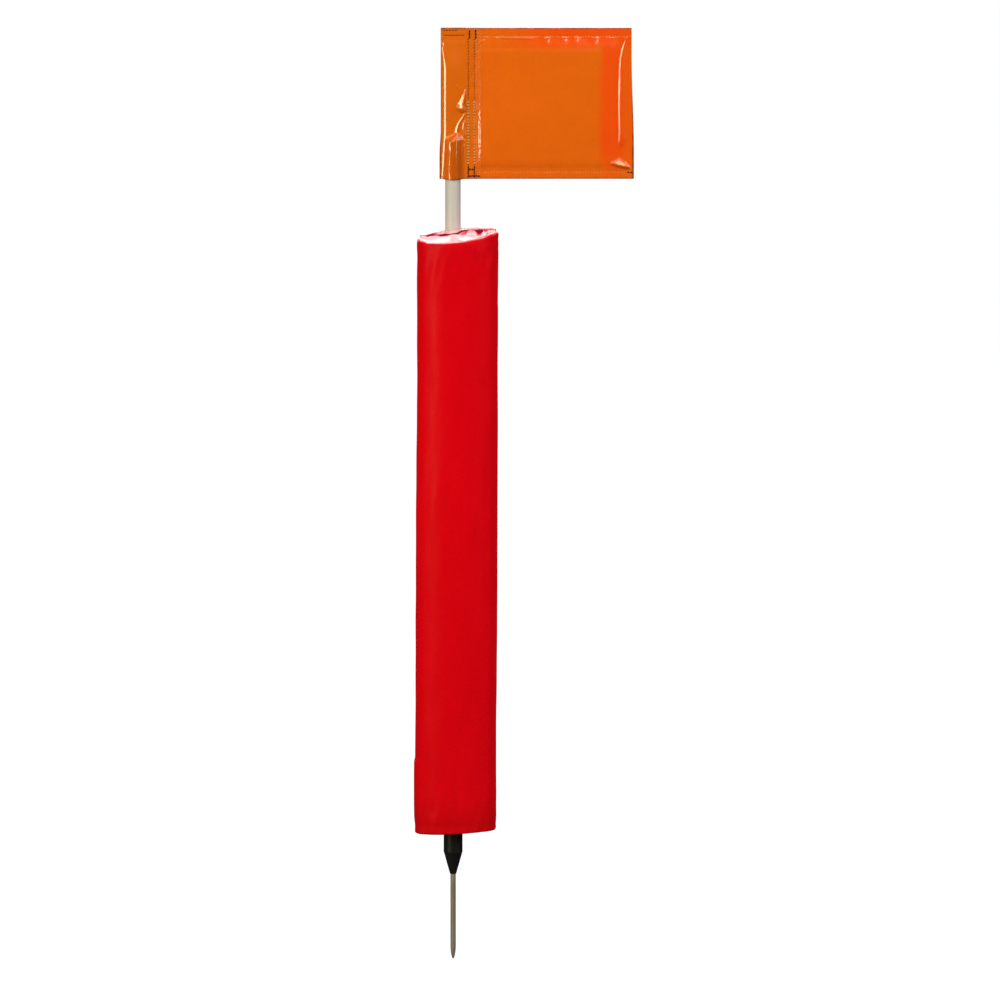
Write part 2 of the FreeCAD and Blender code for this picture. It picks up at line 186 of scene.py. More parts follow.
def grid_faces(rows, columns, closed=False):
    index = np.arange(rows * columns).reshape(rows, columns)
    if closed:
        index = np.hstack([index, index[:, :1]])
    corners = [index[:-1, :-1], index[:-1, 1:], index[1:, 1:], index[1:, :-1]]
    return np.stack(corners, axis=-1).reshape(-1, 4)


def grid_object(name, x, y, z, closed=False):
    """Smooth surface through a grid of points. Its outside is where columns cross rows."""
    points = np.stack(np.broadcast_arrays(x, y, z), axis=-1)
    rows, columns = points.shape[:2]
    return mesh_object(name, points.reshape(-1, 3), grid_faces(rows, columns, closed))


def thicken(piece, thickness):
    """Gives a skin its thickness, inwards."""
    modifier = piece.modifiers.new("thickness", "SOLIDIFY")
    modifier.thickness = thickness * MM
    modifier.offset = -1
    return piece


def dress(piece, body, material, slot, *nodes):
    """Puts a finished piece on its body, in place of the CAD nodes it stands for."""
    piece.data.materials.append(material)
    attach(piece, body)
    if nodes:
        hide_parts(*nodes)
    return piece


# ---------------------------------------------------------------- pad

# Curls of the slanted top: height, then the two x and the two y between which each rises
TOP_CURLS = (
    (3.0, (-32, -45), None),
    (2.8, (36, 49), (-6, -20)),
    (1.3, None, (-18, -36)),
)
BACK_EDGE_CURL = (2.0, 30, 15)
BACK_EDGE_CURL_YS = (-8, 10)
RIM_LUMPS = (0.3, 14, 7)  # height, size, seed

# The wall's slack, the puckers at its two ends, and its single folds
WALL_SLACK = 0.7
WALL_LUMPS = ((0.45, 0.3, 60, 3), (0.16, 0.6, 16, 4))
WALL_PUCKERS = ((0.3, 0.4, 9, 5),)
PUCKER_REACH = (60, 40)  # down from the rim, and up from the foot
WALL_FRONT = (0.2, -0.2)  # between these sines of the facing angle, the wall turns to the front
WALL_FOLD_X = 52.0  # x, from the pad's middle, of a wall that faces sideways
LEFT_STEP = (1.3, (0.55, 0.9), (155, 149), (60, 78))
LEFT_BULGE = (0.5, (0.5, 0.9), (230, 150))
RIGHT_FOLD = ([(50, 300), (49, 240), (51, 172)], 1.5, 0.6)
CORNER_TUCK = ([(56.5, 828), (56, 806), (56.6, 780), (56, 742)], 1.0, -2.2)
RIM_PINCH = (-0.5, -9, 5)  # height, place from the rim, width
FOOT_PINCH = (-0.4, 8, 6)

# Front flap: rises along the slit's edge, and the dimple right of the pole
FRONT_FLAP_GRID = (170, 44)
FRONT_FLAP_LIFT = 0.5
FRONT_EDGE_LIFT = 1.0
FRONT_EDGE_HUMPS = ((4.9, 0, 10), (2.8, 23, 8), (-1.4, 42.5, 1.8))
FRONT_DIMPLE = ((4.6, 33.5, 5),)
FRONT_WAVES = (0.3, 12, 11)
FRONT_RIM_DIP = (0.7, 0.93)  # depth, and the share of the way out where it starts

# Back flap: a belly, a tucked edge, hollows beside the pole, and a collar round it
BACK_FLAP_GRID = (170, 64)
BACK_FLAP_TUCK = -1.6
BACK_BELLY = 0.9
BACK_EDGE_TUCK = (2.6, 0.09)
BACK_EDGE_LIFT = 1.0
BACK_LEFT_HOLLOW = ((1.6, -28, 13),)
BACK_LEFT_RISE = ((2.2, -26, 14),)
BACK_LEFT_SHARES = (0.4, 0.8)
BACK_DIMPLE = ((4.5, 33.5, 5),)
BACK_END_RISE = (1.2, (49, 8), (3, 5))
BACK_END_NICK = (1.6, (42.5, 1.8), (1, 2))
BACK_POLE_RISE = ((2.6, 17, 9),)
BACK_WAVES = (0.25, 10, 12)
COLLAR_WIDTH = 8.0
COLLAR_RISE = 4.8
COLLAR_END_YS = (18, 12)
COLLAR_FRONT_YS = (1, -9)
COLLAR_FRONT_RISE = ((4.2, 0, 11),)

FOOT_PANEL_GRID = (120, 16)
FOOT_PANEL_LIFT = 0.4
FOOT_PANEL_WAVES = (0.35, 18, 21)
TAPE_LIFT = 0.9
TAPE_RIB = 0.14
TAPE_RIB_PITCH = 3.0
TAPE_RIB_ENDS = (0.85, 0.6)  # shares of the tape's half width between which the ribs fade
TAPE_EDGE = (1.0, 0.9)
TAPE_SIDE_RADIUS = 82.25  # radius of the wall's flatter arcs
TAPE_GRID = (760, 15)


def oval_point(angle):
    """Point of the pad's oval where its outside faces that way, and the four arcs' own centres."""
    low, high = box_mm("pad_cover")
    half_width, half_depth = (high - low)[0] / 2, (high - low)[1] / 2
    end_x = half_width - PAD_END_RADIUS
    drop = half_depth - PAD_END_RADIUS
    side_radius = (end_x**2 + half_depth**2 - PAD_END_RADIUS**2) / (2 * drop)
    side_y = side_radius - half_depth
    at_end = np.abs(np.cos(angle)) > math.cos(math.atan2(side_y, end_x))
    radius = np.where(at_end, PAD_END_RADIUS, side_radius)
    x = np.where(at_end, np.sign(np.cos(angle)) * end_x, 0) + radius * np.cos(angle)
    y = np.where(at_end, 0, -np.sign(np.sin(angle)) * side_y) + radius * np.sin(angle)
    return PAD_CENTRE[0] + x, PAD_CENTRE[1] + y


def even_angles(start, end, count):
    """Angles from start to end whose points on the oval are evenly spaced."""
    fine = np.linspace(start, end, 4000)
    x, y = oval_point(fine)
    run = np.concatenate([[0], np.cumsum(np.hypot(np.diff(x), np.diff(y)))])
    return np.interp(np.linspace(0, run[-1], count), run, fine), run[-1]


def between(value, span):
    """Smooth rise between a span's two ends, or 1 everywhere where there is no span."""
    return 1 if span is None else smooth(*span, value)


def top_plane(x, y):
    """Height of the pad's slanted top, which curls up at its ends and along its edges."""
    slope_x, slope_y = PAD_TOP_SLOPE
    height = PAD_TOP_Z + slope_x * (x - PAD_CENTRE[0]) + slope_y * (y - PAD_CENTRE[1])
    for rise, x_span, y_span in TOP_CURLS:
        height = height + rise * between(x, x_span) * between(y, y_span)
    return height + humps(x, [BACK_EDGE_CURL]) * smooth(*BACK_EDGE_CURL_YS, y)


def lean(z):
    """Sideways shift of the pad at a height: it stands a little out of true."""
    low, high = box_mm("pad_cover")
    return PAD_LEAN * (2 * (z - low[2]) / (high[2] - low[2]) - 1)


def foot_level(x):
    """Height of the pad's foot, which sags to the left."""
    return box_mm("pad_cover")[0][2] - PAD_FOOT_DROP * smooth(*PAD_FOOT_DROP_XS, x)


def wall_swell(angle, run, z):
    """How far the cover's wall stands out of the plain oval."""
    foot, rim = box_mm("pad_cover")[0][2], box_mm("pad_cover")[1][2]
    sideways = np.cos(angle)
    near_ends = bell(z, rim, PUCKER_REACH[0]) + bell(z, foot, PUCKER_REACH[1])
    swell = WALL_SLACK + lumps(run, z, WALL_LUMPS) + near_ends * lumps(run, z, WALL_PUCKERS)
    for height, out, *spans in (LEFT_STEP, LEFT_BULGE):
        part = height * smooth(*out, -sideways)
        for span in spans:
            part = part * smooth(*span, z)
        swell = swell + part
    x = PAD_CENTRE[0] + WALL_FOLD_X * sideways
    front = smooth(*WALL_FRONT, np.sin(angle))
    swell = swell + front * (crease(x, z, *RIGHT_FOLD) + crease(x, z, *CORNER_TUCK))
    return swell + humps(z - rim, [RIM_PINCH]) + humps(z - foot, [FOOT_PINCH])


def pad_wall():
    """The cover's wall, rolled under at the foot and over at the slanted rim."""
    angle, length = even_angles(math.pi / 2, math.pi * 2.5, PAD_RING_POINTS + 1)
    angle = angle[:-1]
    run = np.linspace(0, length, PAD_RING_POINTS, endpoint=False)
    ring_x, ring_y = oval_point(angle)
    height, size, seed = RIM_LUMPS
    top = top_plane(ring_x, ring_y) + height * ripple(run, 0, size, seed)
    foot = foot_level(ring_x)
    rows = [(PAD_FOOT_ROUND + PAD_FOOT_TURN_IN, foot)]
    for turn in np.linspace(0, math.pi / 2, PAD_ROUND_STEPS, endpoint=False):
        rise = PAD_FOOT_ROUND * (1 - math.cos(turn))
        rows.append((PAD_FOOT_ROUND * (1 - math.sin(turn)), foot + rise))
    foot = foot + PAD_FOOT_ROUND
    for share in np.linspace(0, 1, PAD_BODY_ROWS):
        rows.append((0.0, foot + (top - PAD_RIM_ROUND - foot) * share))
    for turn in np.linspace(0, math.pi / 2, PAD_ROUND_STEPS + 1)[1:]:
        inset = PAD_RIM_ROUND * (1 - math.cos(turn))
        rows.append((inset, top - PAD_RIM_ROUND * (1 - math.sin(turn))))
    rows.append((PAD_RIM_ROUND + PAD_RIM_TURN_IN, top - SKIN * 2 / 3))
    inset = np.array([row[0] for row in rows])[:, None]
    z = np.array([np.broadcast_to(row[1], ring_x.shape) for row in rows])
    swell = wall_swell(angle[None, :], run[None, :], z)
    out = swell * smooth(2 * PAD_RIM_ROUND, 0, inset) - inset
    x = ring_x + out * np.cos(angle) + lean(z)
    y = ring_y + out * np.sin(angle)
    return grid_object("pad_cover_wall", x, y, z, closed=True)


def slit_y(x):
    """Line of the top's slit, which bends forward to pass in front of the pole."""
    return SLIT_FRONT_Y * smooth(*SLIT_BEND_XS, np.abs(x))


def scaled_oval(angle, share):
    """Points of the pad's oval, drawn in towards its middle by a share of its width and depth."""
    x, y = oval_point(angle)
    return PAD_CENTRE[0] + (x - PAD_CENTRE[0]) * share[0], PAD_CENTRE[1] + (y - PAD_CENTRE[1]) * share[1]


def flap_grid(angles, grid, tuck=0.0):
    """Grid from the slit, share 0, to the rim between two angles, share 1."""
    columns, rows = grid
    rim_x, rim_y = scaled_oval(even_angles(*angles, columns)[0], FLAP_RIM_SHARE)
    rim_x = rim_x + PAD_LEAN
    sweep = (1 - np.cos(math.pi * np.linspace(0, 1, columns))) / 2
    slit_x = rim_x[0] + (rim_x[-1] - rim_x[0]) * sweep
    slit = slit_y(slit_x) + tuck * np.sin(math.pi * sweep)
    share = np.linspace(0, 1, rows)[:, None]
    x = slit_x + (rim_x - slit_x) * share
    y = slit + (rim_y - slit) * share
    return x, y, share


def belly(share, x, y, waves):
    """Waves of a flap, which fade to its slit and its rim."""
    height, size, seed = waves
    return height * ripple(x, y, size, seed) * np.sin(math.pi * share)


def pad_front_flap():
    """Front half of the top: it rises to the slit, most of all in front of the pole."""
    x, y, share = flap_grid((math.pi - SLIT_END_ANGLE, TAU + SLIT_END_ANGLE), FRONT_FLAP_GRID)
    inner = 1 - share
    lift = FRONT_FLAP_LIFT + (FRONT_EDGE_LIFT + humps(x, FRONT_EDGE_HUMPS)) * inner**1.2
    lift = lift - humps(x, FRONT_DIMPLE) * inner**1.5 + belly(share, x, y, FRONT_WAVES)
    dip, start = FRONT_RIM_DIP
    z = top_plane(x, y) + lift - dip * smooth(start, 1.0, share)
    flip = slice(None, None, -1)
    return thicken(grid_object("pad_top_front", x[flip], y[flip], z[flip]), SKIN)


def back_flap_lift(x, y, share):
    """Height of the back flap over the slanted top, without its collar."""
    inner = 1 - share
    tuck, reach = BACK_EDGE_TUCK
    lift = BACK_BELLY * np.sin(math.pi * share) - tuck * smooth(reach, 0.0, share)
    lift = lift + BACK_EDGE_LIFT * inner**2
    lift = lift - inner * humps(x, BACK_LEFT_HOLLOW)
    lift = lift + smooth(*BACK_LEFT_SHARES, share) * humps(x, BACK_LEFT_RISE)
    lift = lift - inner**3 * humps(x, BACK_DIMPLE) + inner * humps(x, BACK_POLE_RISE)
    height, across, along = BACK_END_RISE
    lift = lift + height * bell(x, *across) * bell(y, *along)
    height, across, along = BACK_END_NICK
    lift = lift - height * bell(x, *across) * bell(y, *along)
    return lift + belly(share, x, y, BACK_WAVES)


def pad_back_flap():
    """Back half of the top: it tucks under the front half and stands up round the pole."""
    x, y, share = flap_grid((math.pi - SLIT_END_ANGLE, SLIT_END_ANGLE), BACK_FLAP_GRID, BACK_FLAP_TUCK)
    reach = np.hypot(x, y)
    collar = np.exp(-((np.maximum(reach - POLE_HOLE, 0) / COLLAR_WIDTH) ** 2)) * smooth(*COLLAR_END_YS, y)
    collar = collar * (COLLAR_RISE + smooth(*COLLAR_FRONT_YS, y) * humps(x, COLLAR_FRONT_RISE))
    z = top_plane(x, y) + back_flap_lift(x, y, share) + collar
    inside = reach < POLE_HOLE
    push = np.where(inside, POLE_HOLE / np.maximum(reach, 0.1), 1)
    points = np.stack([x * push, y * push, z], axis=-1).reshape(-1, 3)
    faces = grid_faces(*x.shape)
    hole = inside.reshape(-1)[faces].all(axis=1)
    return thicken(mesh_object("pad_top_back", points, faces[~hole]), SKIN)


def pad_foot_panel():
    """Vinyl panel under the pad, from the wall to the eyelet."""
    columns, rows = FOOT_PANEL_GRID
    angle = even_angles(math.pi / 2, math.pi * 2.5, columns + 1)[0][:-1]
    share = np.linspace(0, 1, rows)[:, None]
    rim_x, rim_y = scaled_oval(angle, FOOT_PANEL_SHARE)
    rim_x = rim_x - PAD_LEAN
    hole_x, hole_y = PAD_FOOT_HOLE * np.cos(angle), PAD_FOOT_HOLE * np.sin(angle)
    x = hole_x + (rim_x - hole_x) * share
    y = hole_y + (rim_y - hole_y) * share
    level = box_mm("pad_cover")[0][2]
    z = level + (foot_level(x) - level) * share**2
    z = z + FOOT_PANEL_LIFT + belly(share, x, y, FOOT_PANEL_WAVES)
    return thicken(grid_object("pad_foot_panel", x, y, z, closed=True), SKIN)


def pad_back_tape():
    """Welded tape over the cover's lengthwise join, with a row of ribs."""
    low, high = box_mm("pad_cover_back_tape")
    rows, columns = TAPE_GRID
    across = np.linspace(-1, 1, columns)[None, :]
    z = np.linspace(low[2], high[2], rows)[:, None]
    x = (low[0] + high[0]) / 2 - across * (high[0] - low[0]) / 2
    angle = np.arccos(np.clip((x - PAD_CENTRE[0]) / TAPE_SIDE_RADIUS, -1, 1))
    wall = oval_point(angle)[1] + wall_swell(angle, x * 0, z)
    ribs = TAPE_RIB * np.sin(z * TAU / TAPE_RIB_PITCH) * smooth(*TAPE_RIB_ENDS, np.abs(across))
    y = wall + TAPE_LIFT * smooth(*TAPE_EDGE, np.abs(across)) + ribs
    return thicken(grid_object("pad_back_tape", x + lean(z), y, z), TAPE_SKIN)


# ---------------------------------------------------------------- flag

FLY_NARROWING_ZS = (945, 1075)
FOLD_INSET = 0.3
FOLD_SPREAD_ZS = (975, 940)

# Sleeve: the pole fills it up to the arch, and above that it is a slack flat tube
OPEN_TOP_ZS = (1098, 1052)  # the tube is closed by the upper height, and fully open by the lower
OPEN_FOOT_ZS = (855, 962)
RIDGE_X = (0.8, 6.0)  # the front ridge's distance from the fold, closed, and what opening adds
RIDGE_RISE = 0.66  # rise per millimetre from the fold to the ridge
RIDGE_FLATTENING = 0.9
RIDGE_PROFILE = ((0, 0.22, 0.64, 1.0), (0, 0.38, 0.78, 1.0))
SAG = 1.4  # how much flatter the open tube gets towards the seams
SAG_XS = (-4, 17)
SLOT_XS = (24, 15)  # the sleeve's front half lies on the sheet from the lower x on
SLOT_HALF = 1.8
SLOT_GAP = 0.9
ARCH_Z = 961.0
ARCH_HUMP = ((5, 5, 9),)
ARCH_FADE = (6, -5)
CLOSED_ZS = (1086, 1096)
CLOSED_XS = (17, 14)
CLOSED_HALF = 1.1
GRIP_BAND = (-12.0, 2.7)  # where the pressed fold starts to open round the pole
GRIP_SLOT = (15.5, 1.8)  # where the two halves meet behind the pole
GRIP_FOLD = ((-16, 0.2), (-15.2, 1.4))
SLEEVE_SLACK = (0.35, 0.6, 22, 31)  # height, share of z, size, seed
SLEEVE_PUCKERS = (0.16, 0.6, 6, 33)
PUCKER_BAND = (23.5, 7)  # middle and half width, over the two seams
SLACK_XS = (18, 10)
CROWN_RELIEF = (0.95, 1.5)  # the relief starts past the ridge, as shares of its distance from the fold
SEAM_SINK = (-0.3, 1.1)  # depth and half width of the furrow that a seam pulls in
TOP_ROWS = ((-0.25, 1097, 1.0), (-0.25, 1103.3, 1.0))
TOP_ROW_XS = (19, 15)
SLEEVE_GRID = (246, 92)
SLEEVE_EDGE = 0.4

# Creases of the sleeve's front: a path of (x, z), width, height
SLEEVE_CREASES = (
    ([(-5.6, 914), (-4.6, 935), (-2.4, 953), (1.0, 963)], 0.9, 0.15),
    ([(-0.5, 964.5), (5, 966), (10.5, 965), (14.0, 958)], 1.3, 0.8),
    ([(15.0, 920), (13.0, 931), (12.4, 946), (13.4, 957)], 1.1, 0.5),
    ([(3.5, 1034), (8.0, 1028), (12.5, 1021)], 1.4, 0.4),
)
# Flat facets above the arch, each from its foot up: (z, near x, far x)
SLEEVE_FACET_SLOPE = 0.5
SLEEVE_FACET_FALL = 2.6
SLEEVE_FACETS = (
    (
        (965, 2.5, 2.5),
        (968, 1.2, 5.4),
        (975, 2.2, 6.0),
        (982, 4.5, 7.7),
        (988, 8.5, 11.2),
        (994, 13.2, 15),
        (997, 15.4, 15.4),
    ),
    (
        (996.5, 9.5, 9.5),
        (999, 6.3, 14.5),
        (1003, 2.8, 13),
        (1008, 4.5, 12),
        (1013, 8, 13.5),
        (1019, 11.5, 15),
        (1028, 15.5, 15.5),
    ),
    (
        (964, 14.5, 14.5),
        (968, 13.3, 15.6),
        (976, 11.5, 13.6),
        (985, 13, 14.8),
        (990, 15.2, 15.2),
    ),
)

# Sheet: a pillow over the board, and what the fly edge's folds add to its front
PILLOW_HEIGHT = 1.5
PILLOW_XS = ((31, 37.5), (226, 204))
PILLOW_FOOT = np.array((-2, 14))  # from the foot hem's line up
PILLOW_HEAD = np.array((2, -16))
BOARD_HEIGHT = 0.55
BOARD_EDGE = np.array((4, -4))
BOARD_FOOT = np.array((-3, 4))
BOARD_HEAD = np.array((4, -3))
HEM_HALF = 1.25
FLY_HALF = 1.0
FLY_EDGE = np.array((-1, -9))  # from the sheet's far edge: the flag gets thinner between these
HEM_EDGE_HALF = 0.15
HEM_TUCK = 10.0  # how far the turned-in hem reaches back
HEM_SEAM_SHIFTS = (-3, 1)  # the hem seams' places, from the hems' lines
PANEL_GRID = (236, 300)
PANEL_EDGE = 0.5
SHEET_CRINKLES = (0.10, 2.2, 47)  # height, size, seed
CRINKLE_HUMP = ((1.0, 34, 2.5),)
CRINKLE_ZS = (1075, 1050)
SHEET_SLACK = (0.5, 85, 41)
SHEET_SLACK_XS = (214, 190)
SHEET_WAVES = (0.1, 24, 43)
HEM_PUCKERS = (0.2, 0.35, 8, 45)
HEM_PUCKER_REACH = (9, 8)  # from the foot hem's line, and from the head hem's
HEM_SINK = (-0.35, 1.0)
FLY_FACET_SLOPE = 0.515
FLY_FACET_FALL = 14
FLY_FACET = (
    (950, 213.4, 213.4),
    (962, 212.5, 216.0),
    (1010, 213.3, 217.0),
    (1040, 214.8, 218.4),
    (1064, 216.0, 219.4),
    (1080, 219.0, 222.1),
    (1093, 225.0, 226.3),
    (1098, 228, 228),
)
CORNER_RIDGE = ([(29.5, 1081), (33.5, 1087), (41, 1091.5)], 0.9, 0.5)
TOP_RIDGE = ([(58, 1094.3), (84, 1093.6), (108, 1093.0)], 0.9, 0.5)

# Dog-ear at the fly edge's foot: (x, foot z, head z), its height at its head, and its slopes
FOOT_PATCH = (
    (201, 931, 931),
    (208, 928, 935),
    (214, 926, 938.5),
    (221, 924.5, 934),
    (229, 924, 926),
)
FOOT_PATCH_HEIGHT = 2.6
FOOT_PATCH_SLOPE = (-0.055, -0.2)
FOOT_PATCH_X = 214
FOOT_PATCH_EDGES = ((0, 3), (-2, 2.5), (0, 4))  # soft edges of its head, its foot and its two ends


def fly_shift(z):
    """The fly edge leans in a little towards the top."""
    return -FLY_NARROWING * smooth(*FLY_NARROWING_ZS, z)


def fold_x(z):
    """Where the sleeve's outer fold runs."""
    return box_mm("flag_pole_sleeve")[0][0] + FOLD_INSET - FOLD_SPREAD * smooth(*FOLD_SPREAD_ZS, z)


def sleeve_ridge_x(z):
    """The front corner beside the fold, where the sleeve turns back to it, and how open the tube is."""
    open_part = smooth(*OPEN_TOP_ZS, z) * smooth(*OPEN_FOOT_ZS, z)
    return fold_x(z) + RIDGE_X[0] + RIDGE_X[1] * open_part, open_part


def round_grip(x):
    """Half thickness of the sleeve round the pole: tight round it, from the pressed fold to the slot."""
    touches = []
    for corner, turn in ((GRIP_BAND, -1), (GRIP_SLOT, 1)):
        reach = math.acos(POLE_GRIP_RADIUS / math.hypot(*corner))
        touches.append(math.atan2(corner[1], corner[0]) + turn * reach)
    arc = np.linspace(*touches, 30)
    round_part = zip(POLE_GRIP_RADIUS * np.cos(arc), POLE_GRIP_RADIUS * np.sin(arc))
    return np.interp(x, *zip(*GRIP_FOLD, GRIP_BAND, *round_part, GRIP_SLOT))


def furrows(value, lines, sink, along):
    """Sewn furrows where value is on one of the lines, deepest between stitches."""
    depth, width = sink
    sunk = depth * sum(bell(value, line, width) for line in lines)
    return sunk * (0.75 + 0.25 * np.cos(along * TAU / STITCH_PITCH))


def waves(x, z, side, row):
    """Ripple of the front or the back. The row is (height, size, seed)."""
    height, size, seed = row
    return height * ripple(x, z, size, seed + side)


def sleeve_relief(x, z, side, open_part):
    """What stands out of the sleeve's plain shape: slack, seams, puckers, and the front's folds."""
    height, share, size, seed = SLEEVE_SLACK
    relief = height * ripple(x, z * share, size, seed + side) * open_part * smooth(*SLACK_XS, x)
    relief = relief + furrows(x, SEAM_XS, SEAM_SINK, z)
    height, share, size, seed = SLEEVE_PUCKERS
    relief = relief + height * ripple(x * share, z, size, seed + side) * bell(x, *PUCKER_BAND)
    relief = relief + humps(z, TOP_ROWS) * smooth(*TOP_ROW_XS, x)
    if side < 0:
        relief = relief + sum(crease(x, z, *fold) for fold in SLEEVE_CREASES)
        for edges in SLEEVE_FACETS:
            relief = relief + facet(x, z, edges, SLEEVE_FACET_SLOPE, SLEEVE_FACET_FALL)
    return relief


def sleeve_half(x, z, side):
    """Half thickness of the pole sleeve at x and z, on its front, side -1, or back, side 1."""
    ridge, open_part = sleeve_ridge_x(z)
    edge = fold_x(z)
    across = (x - edge) / (ridge - edge)
    crown = RIDGE_RISE * (ridge - edge) - SAG * open_part * smooth(*SAG_XS, x)
    crown = crown + (1 - RIDGE_FLATTENING * open_part) * smooth(0, 3, x - ridge)
    empty = crown * np.interp(across, *RIDGE_PROFILE)
    slot = SLOT_HALF + SLOT_GAP * open_part * smooth(*SLOT_XS, x)
    empty = np.where(x > SLOT_XS[1], np.minimum(empty, slot), empty)
    arch = ARCH_Z + humps(x, ARCH_HUMP)
    filled = smooth(arch + ARCH_FADE[0], arch + ARCH_FADE[1], z)
    half = empty + np.where(across < 1, 0, np.maximum(round_grip(x) - empty, 0) * filled)
    closed = smooth(*CLOSED_ZS, z) * smooth(*CLOSED_XS, x)
    half = half + (CLOSED_HALF * np.clip(across, 0, 1) ** 0.5 - half) * closed
    return half + smooth(*CROWN_RELIEF, across) * sleeve_relief(x, z, side, open_part)


def pole_sleeve():
    """The flag's sleeve: one strip from its back leaf, round the fold, to its front leaf."""
    low, high = box_mm("flag_pole_sleeve")
    rows, columns = SLEEVE_GRID
    inner = np.linspace(low[2] + SLEEVE_EDGE, high[2] - SLEEVE_EDGE, rows)
    z = np.concatenate([[low[2]], inner, [high[2]]])[:, None]
    out = np.linspace(1, 0, columns) ** 1.5
    nominal = np.concatenate([out, out[-2::-1]])[None, :]
    side = np.concatenate([np.ones(columns), -np.ones(columns - 1)])[None, :]
    x = fold_x(z) + (LEAF_X - fold_x(z)) * nominal
    half = np.where(side > 0, sleeve_half(x, z, 1), sleeve_half(x, z, -1))
    leaf_edge = smooth(1.0, 0.985, nominal)
    y = side * (half * leaf_edge + HEM_HALF * (1 - leaf_edge))
    y = np.where(nominal == 0, 0, y)
    return thicken(grid_object("flag_pole_sleeve_vinyl", x, y, z), VINYL_SKIN)


def foot_patch(x, z, half):
    """Turns the fly edge's foot into a flat dog-ear, tilted a little upwards."""
    levels, foot, head = np.array(FOOT_PATCH, float).T
    foot = np.interp(x, levels, foot)
    top = np.interp(x, levels, head)
    inside = 1
    for edge, distance in zip(FOOT_PATCH_EDGES, (top - z, z - foot, top - foot)):
        inside = inside * smooth(*edge, distance)
    flat = FOOT_PATCH_HEIGHT + FOOT_PATCH_SLOPE[1] * (z - np.max(head))
    flat = flat + FOOT_PATCH_SLOPE[0] * (x - FOOT_PATCH_X)
    return half + (flat - half) * inside


def board_mask(x, z):
    """1 over the board, 0 beside, above and below it."""
    low, high = box_mm("flag_stiffener")
    across = smooth(*(high[0] + BOARD_EDGE), x)
    return across * smooth(*(low[2] + BOARD_FOOT), z) * smooth(*(high[2] + BOARD_HEAD), z)


def panel_half(x, z, side):
    """Half thickness of the flag at x and z: a flat pillow over the board, thin at its hems."""
    low, high = box_mm("flag_sheet")
    foot, head = low[2] + HEM, high[2] - HEM
    inside = smooth(*PILLOW_XS[0], x) * smooth(*PILLOW_XS[1], x)
    inside = inside * smooth(*(foot + PILLOW_FOOT), z) * smooth(*(head + PILLOW_HEAD), z)
    half = HEM_HALF + PILLOW_HEIGHT * inside + BOARD_HEIGHT * board_mask(x, z)
    half = half + waves(x, z, 0, SHEET_CRINKLES) * humps(x, CRINKLE_HUMP) * smooth(*CRINKLE_ZS, z)
    half = half + waves(x, z, side, SHEET_SLACK) * inside * smooth(*SHEET_SLACK_XS, x)
    half = half + waves(x, z, side, SHEET_WAVES) * inside
    height, share, size, seed = HEM_PUCKERS
    near_hem = bell(z, foot, HEM_PUCKER_REACH[0]) + bell(z, head, HEM_PUCKER_REACH[1])
    half = half + height * ripple(x, z * share, size, seed + side) * near_hem
    half = half + furrows(z, (foot + HEM_SEAM_SHIFTS[0], head + HEM_SEAM_SHIFTS[1]), HEM_SINK, x)
    if side < 0:
        half = half + facet(x, z, FLY_FACET, FLY_FACET_SLOPE, FLY_FACET_FALL)
        half = half + crease(x, z, *CORNER_RIDGE) + crease(x, z, *TOP_RIDGE)
        half = foot_patch(x, z, half)
    fly = smooth(*(high[0] + FLY_EDGE), x)
    return FLY_HALF + (half - FLY_HALF) * fly


def flag_panel():
    """The flag's vinyl: one sheet folded at the fly edge, its hems turned in at top and foot."""
    low, high = box_mm("flag_sheet")
    rows, columns = PANEL_GRID
    face = np.linspace(low[0], high[0] - FLY_BEND, columns)
    turn = np.linspace(-90, 90, 9)[1:-1]
    nominal = np.concatenate([face, np.full(len(turn), high[0] - FLY_BEND), face[::-1]])[None, :]
    around = np.concatenate([np.full(columns, -90.0), turn, np.full(columns, 90.0)])
    around = np.radians(around)[None, :]
    edge = PANEL_EDGE
    hem_turn = np.linspace(0, math.pi, 7)[1:-1]
    foot_rows = [(low[2] + HEM_TUCK, 0.0), (low[2] + edge, 0.0)]
    for turn in hem_turn:
        foot_rows.append((low[2] + 0.9 * edge * (1 - math.sin(turn)), (1 - math.cos(turn)) / 2))
    face_rows = [(z, 1.0) for z in np.linspace(low[2] + edge, high[2] - edge, rows)]
    head_rows = [(low[2] + high[2] - z, share) for z, share in reversed(foot_rows)]
    z, share = np.array(foot_rows + face_rows + head_rows).T[:, :, None]
    half = np.where(around < 0, panel_half(nominal, z, -1), panel_half(nominal, z, 1))
    half = HEM_EDGE_HALF + (half - HEM_EDGE_HALF) * share
    stretch = 1 + fly_shift(z) / (high[0] - low[0])
    x = low[0] + (nominal - low[0]) * stretch + half * np.cos(around)
    y = half * np.sin(around)
    return thicken(grid_object("flag_vinyl", x, y, z), VINYL_SKIN)


# ---------------------------------------------------------------- thread

THREAD_SEED = 51
STITCH_SIDES = 6
STITCH_RINGS = 6
STITCH_RISE = 0.25
STITCH_WOBBLE = 0.12
STITCH_BLUNTNESS = (0.09, 0.91)  # the shares of a stitch between which it keeps its thickness
HEM_RUN_MARGINS = (2, 5)

# Tacks: heights above the sheet's foot or below its head, and the x where each cross tack ends
SEAM_FOOT_TACK = (1.8, 17)
SEAM_HEAD_TACK = (2.8, 13)
HEAD_TACK_SHIFT = 1.6
CROSS_TACKS = ((SEAM_XS[1], 12.7), (35, 3.8))
FLY_TACK = ((224, 8.6), (231, 8.4))
SLEEVE_TOP_RUNS = (((-13, 1103.6), (6, 1103.6)), ((-11, 1097.2), (14, 1097.2)))


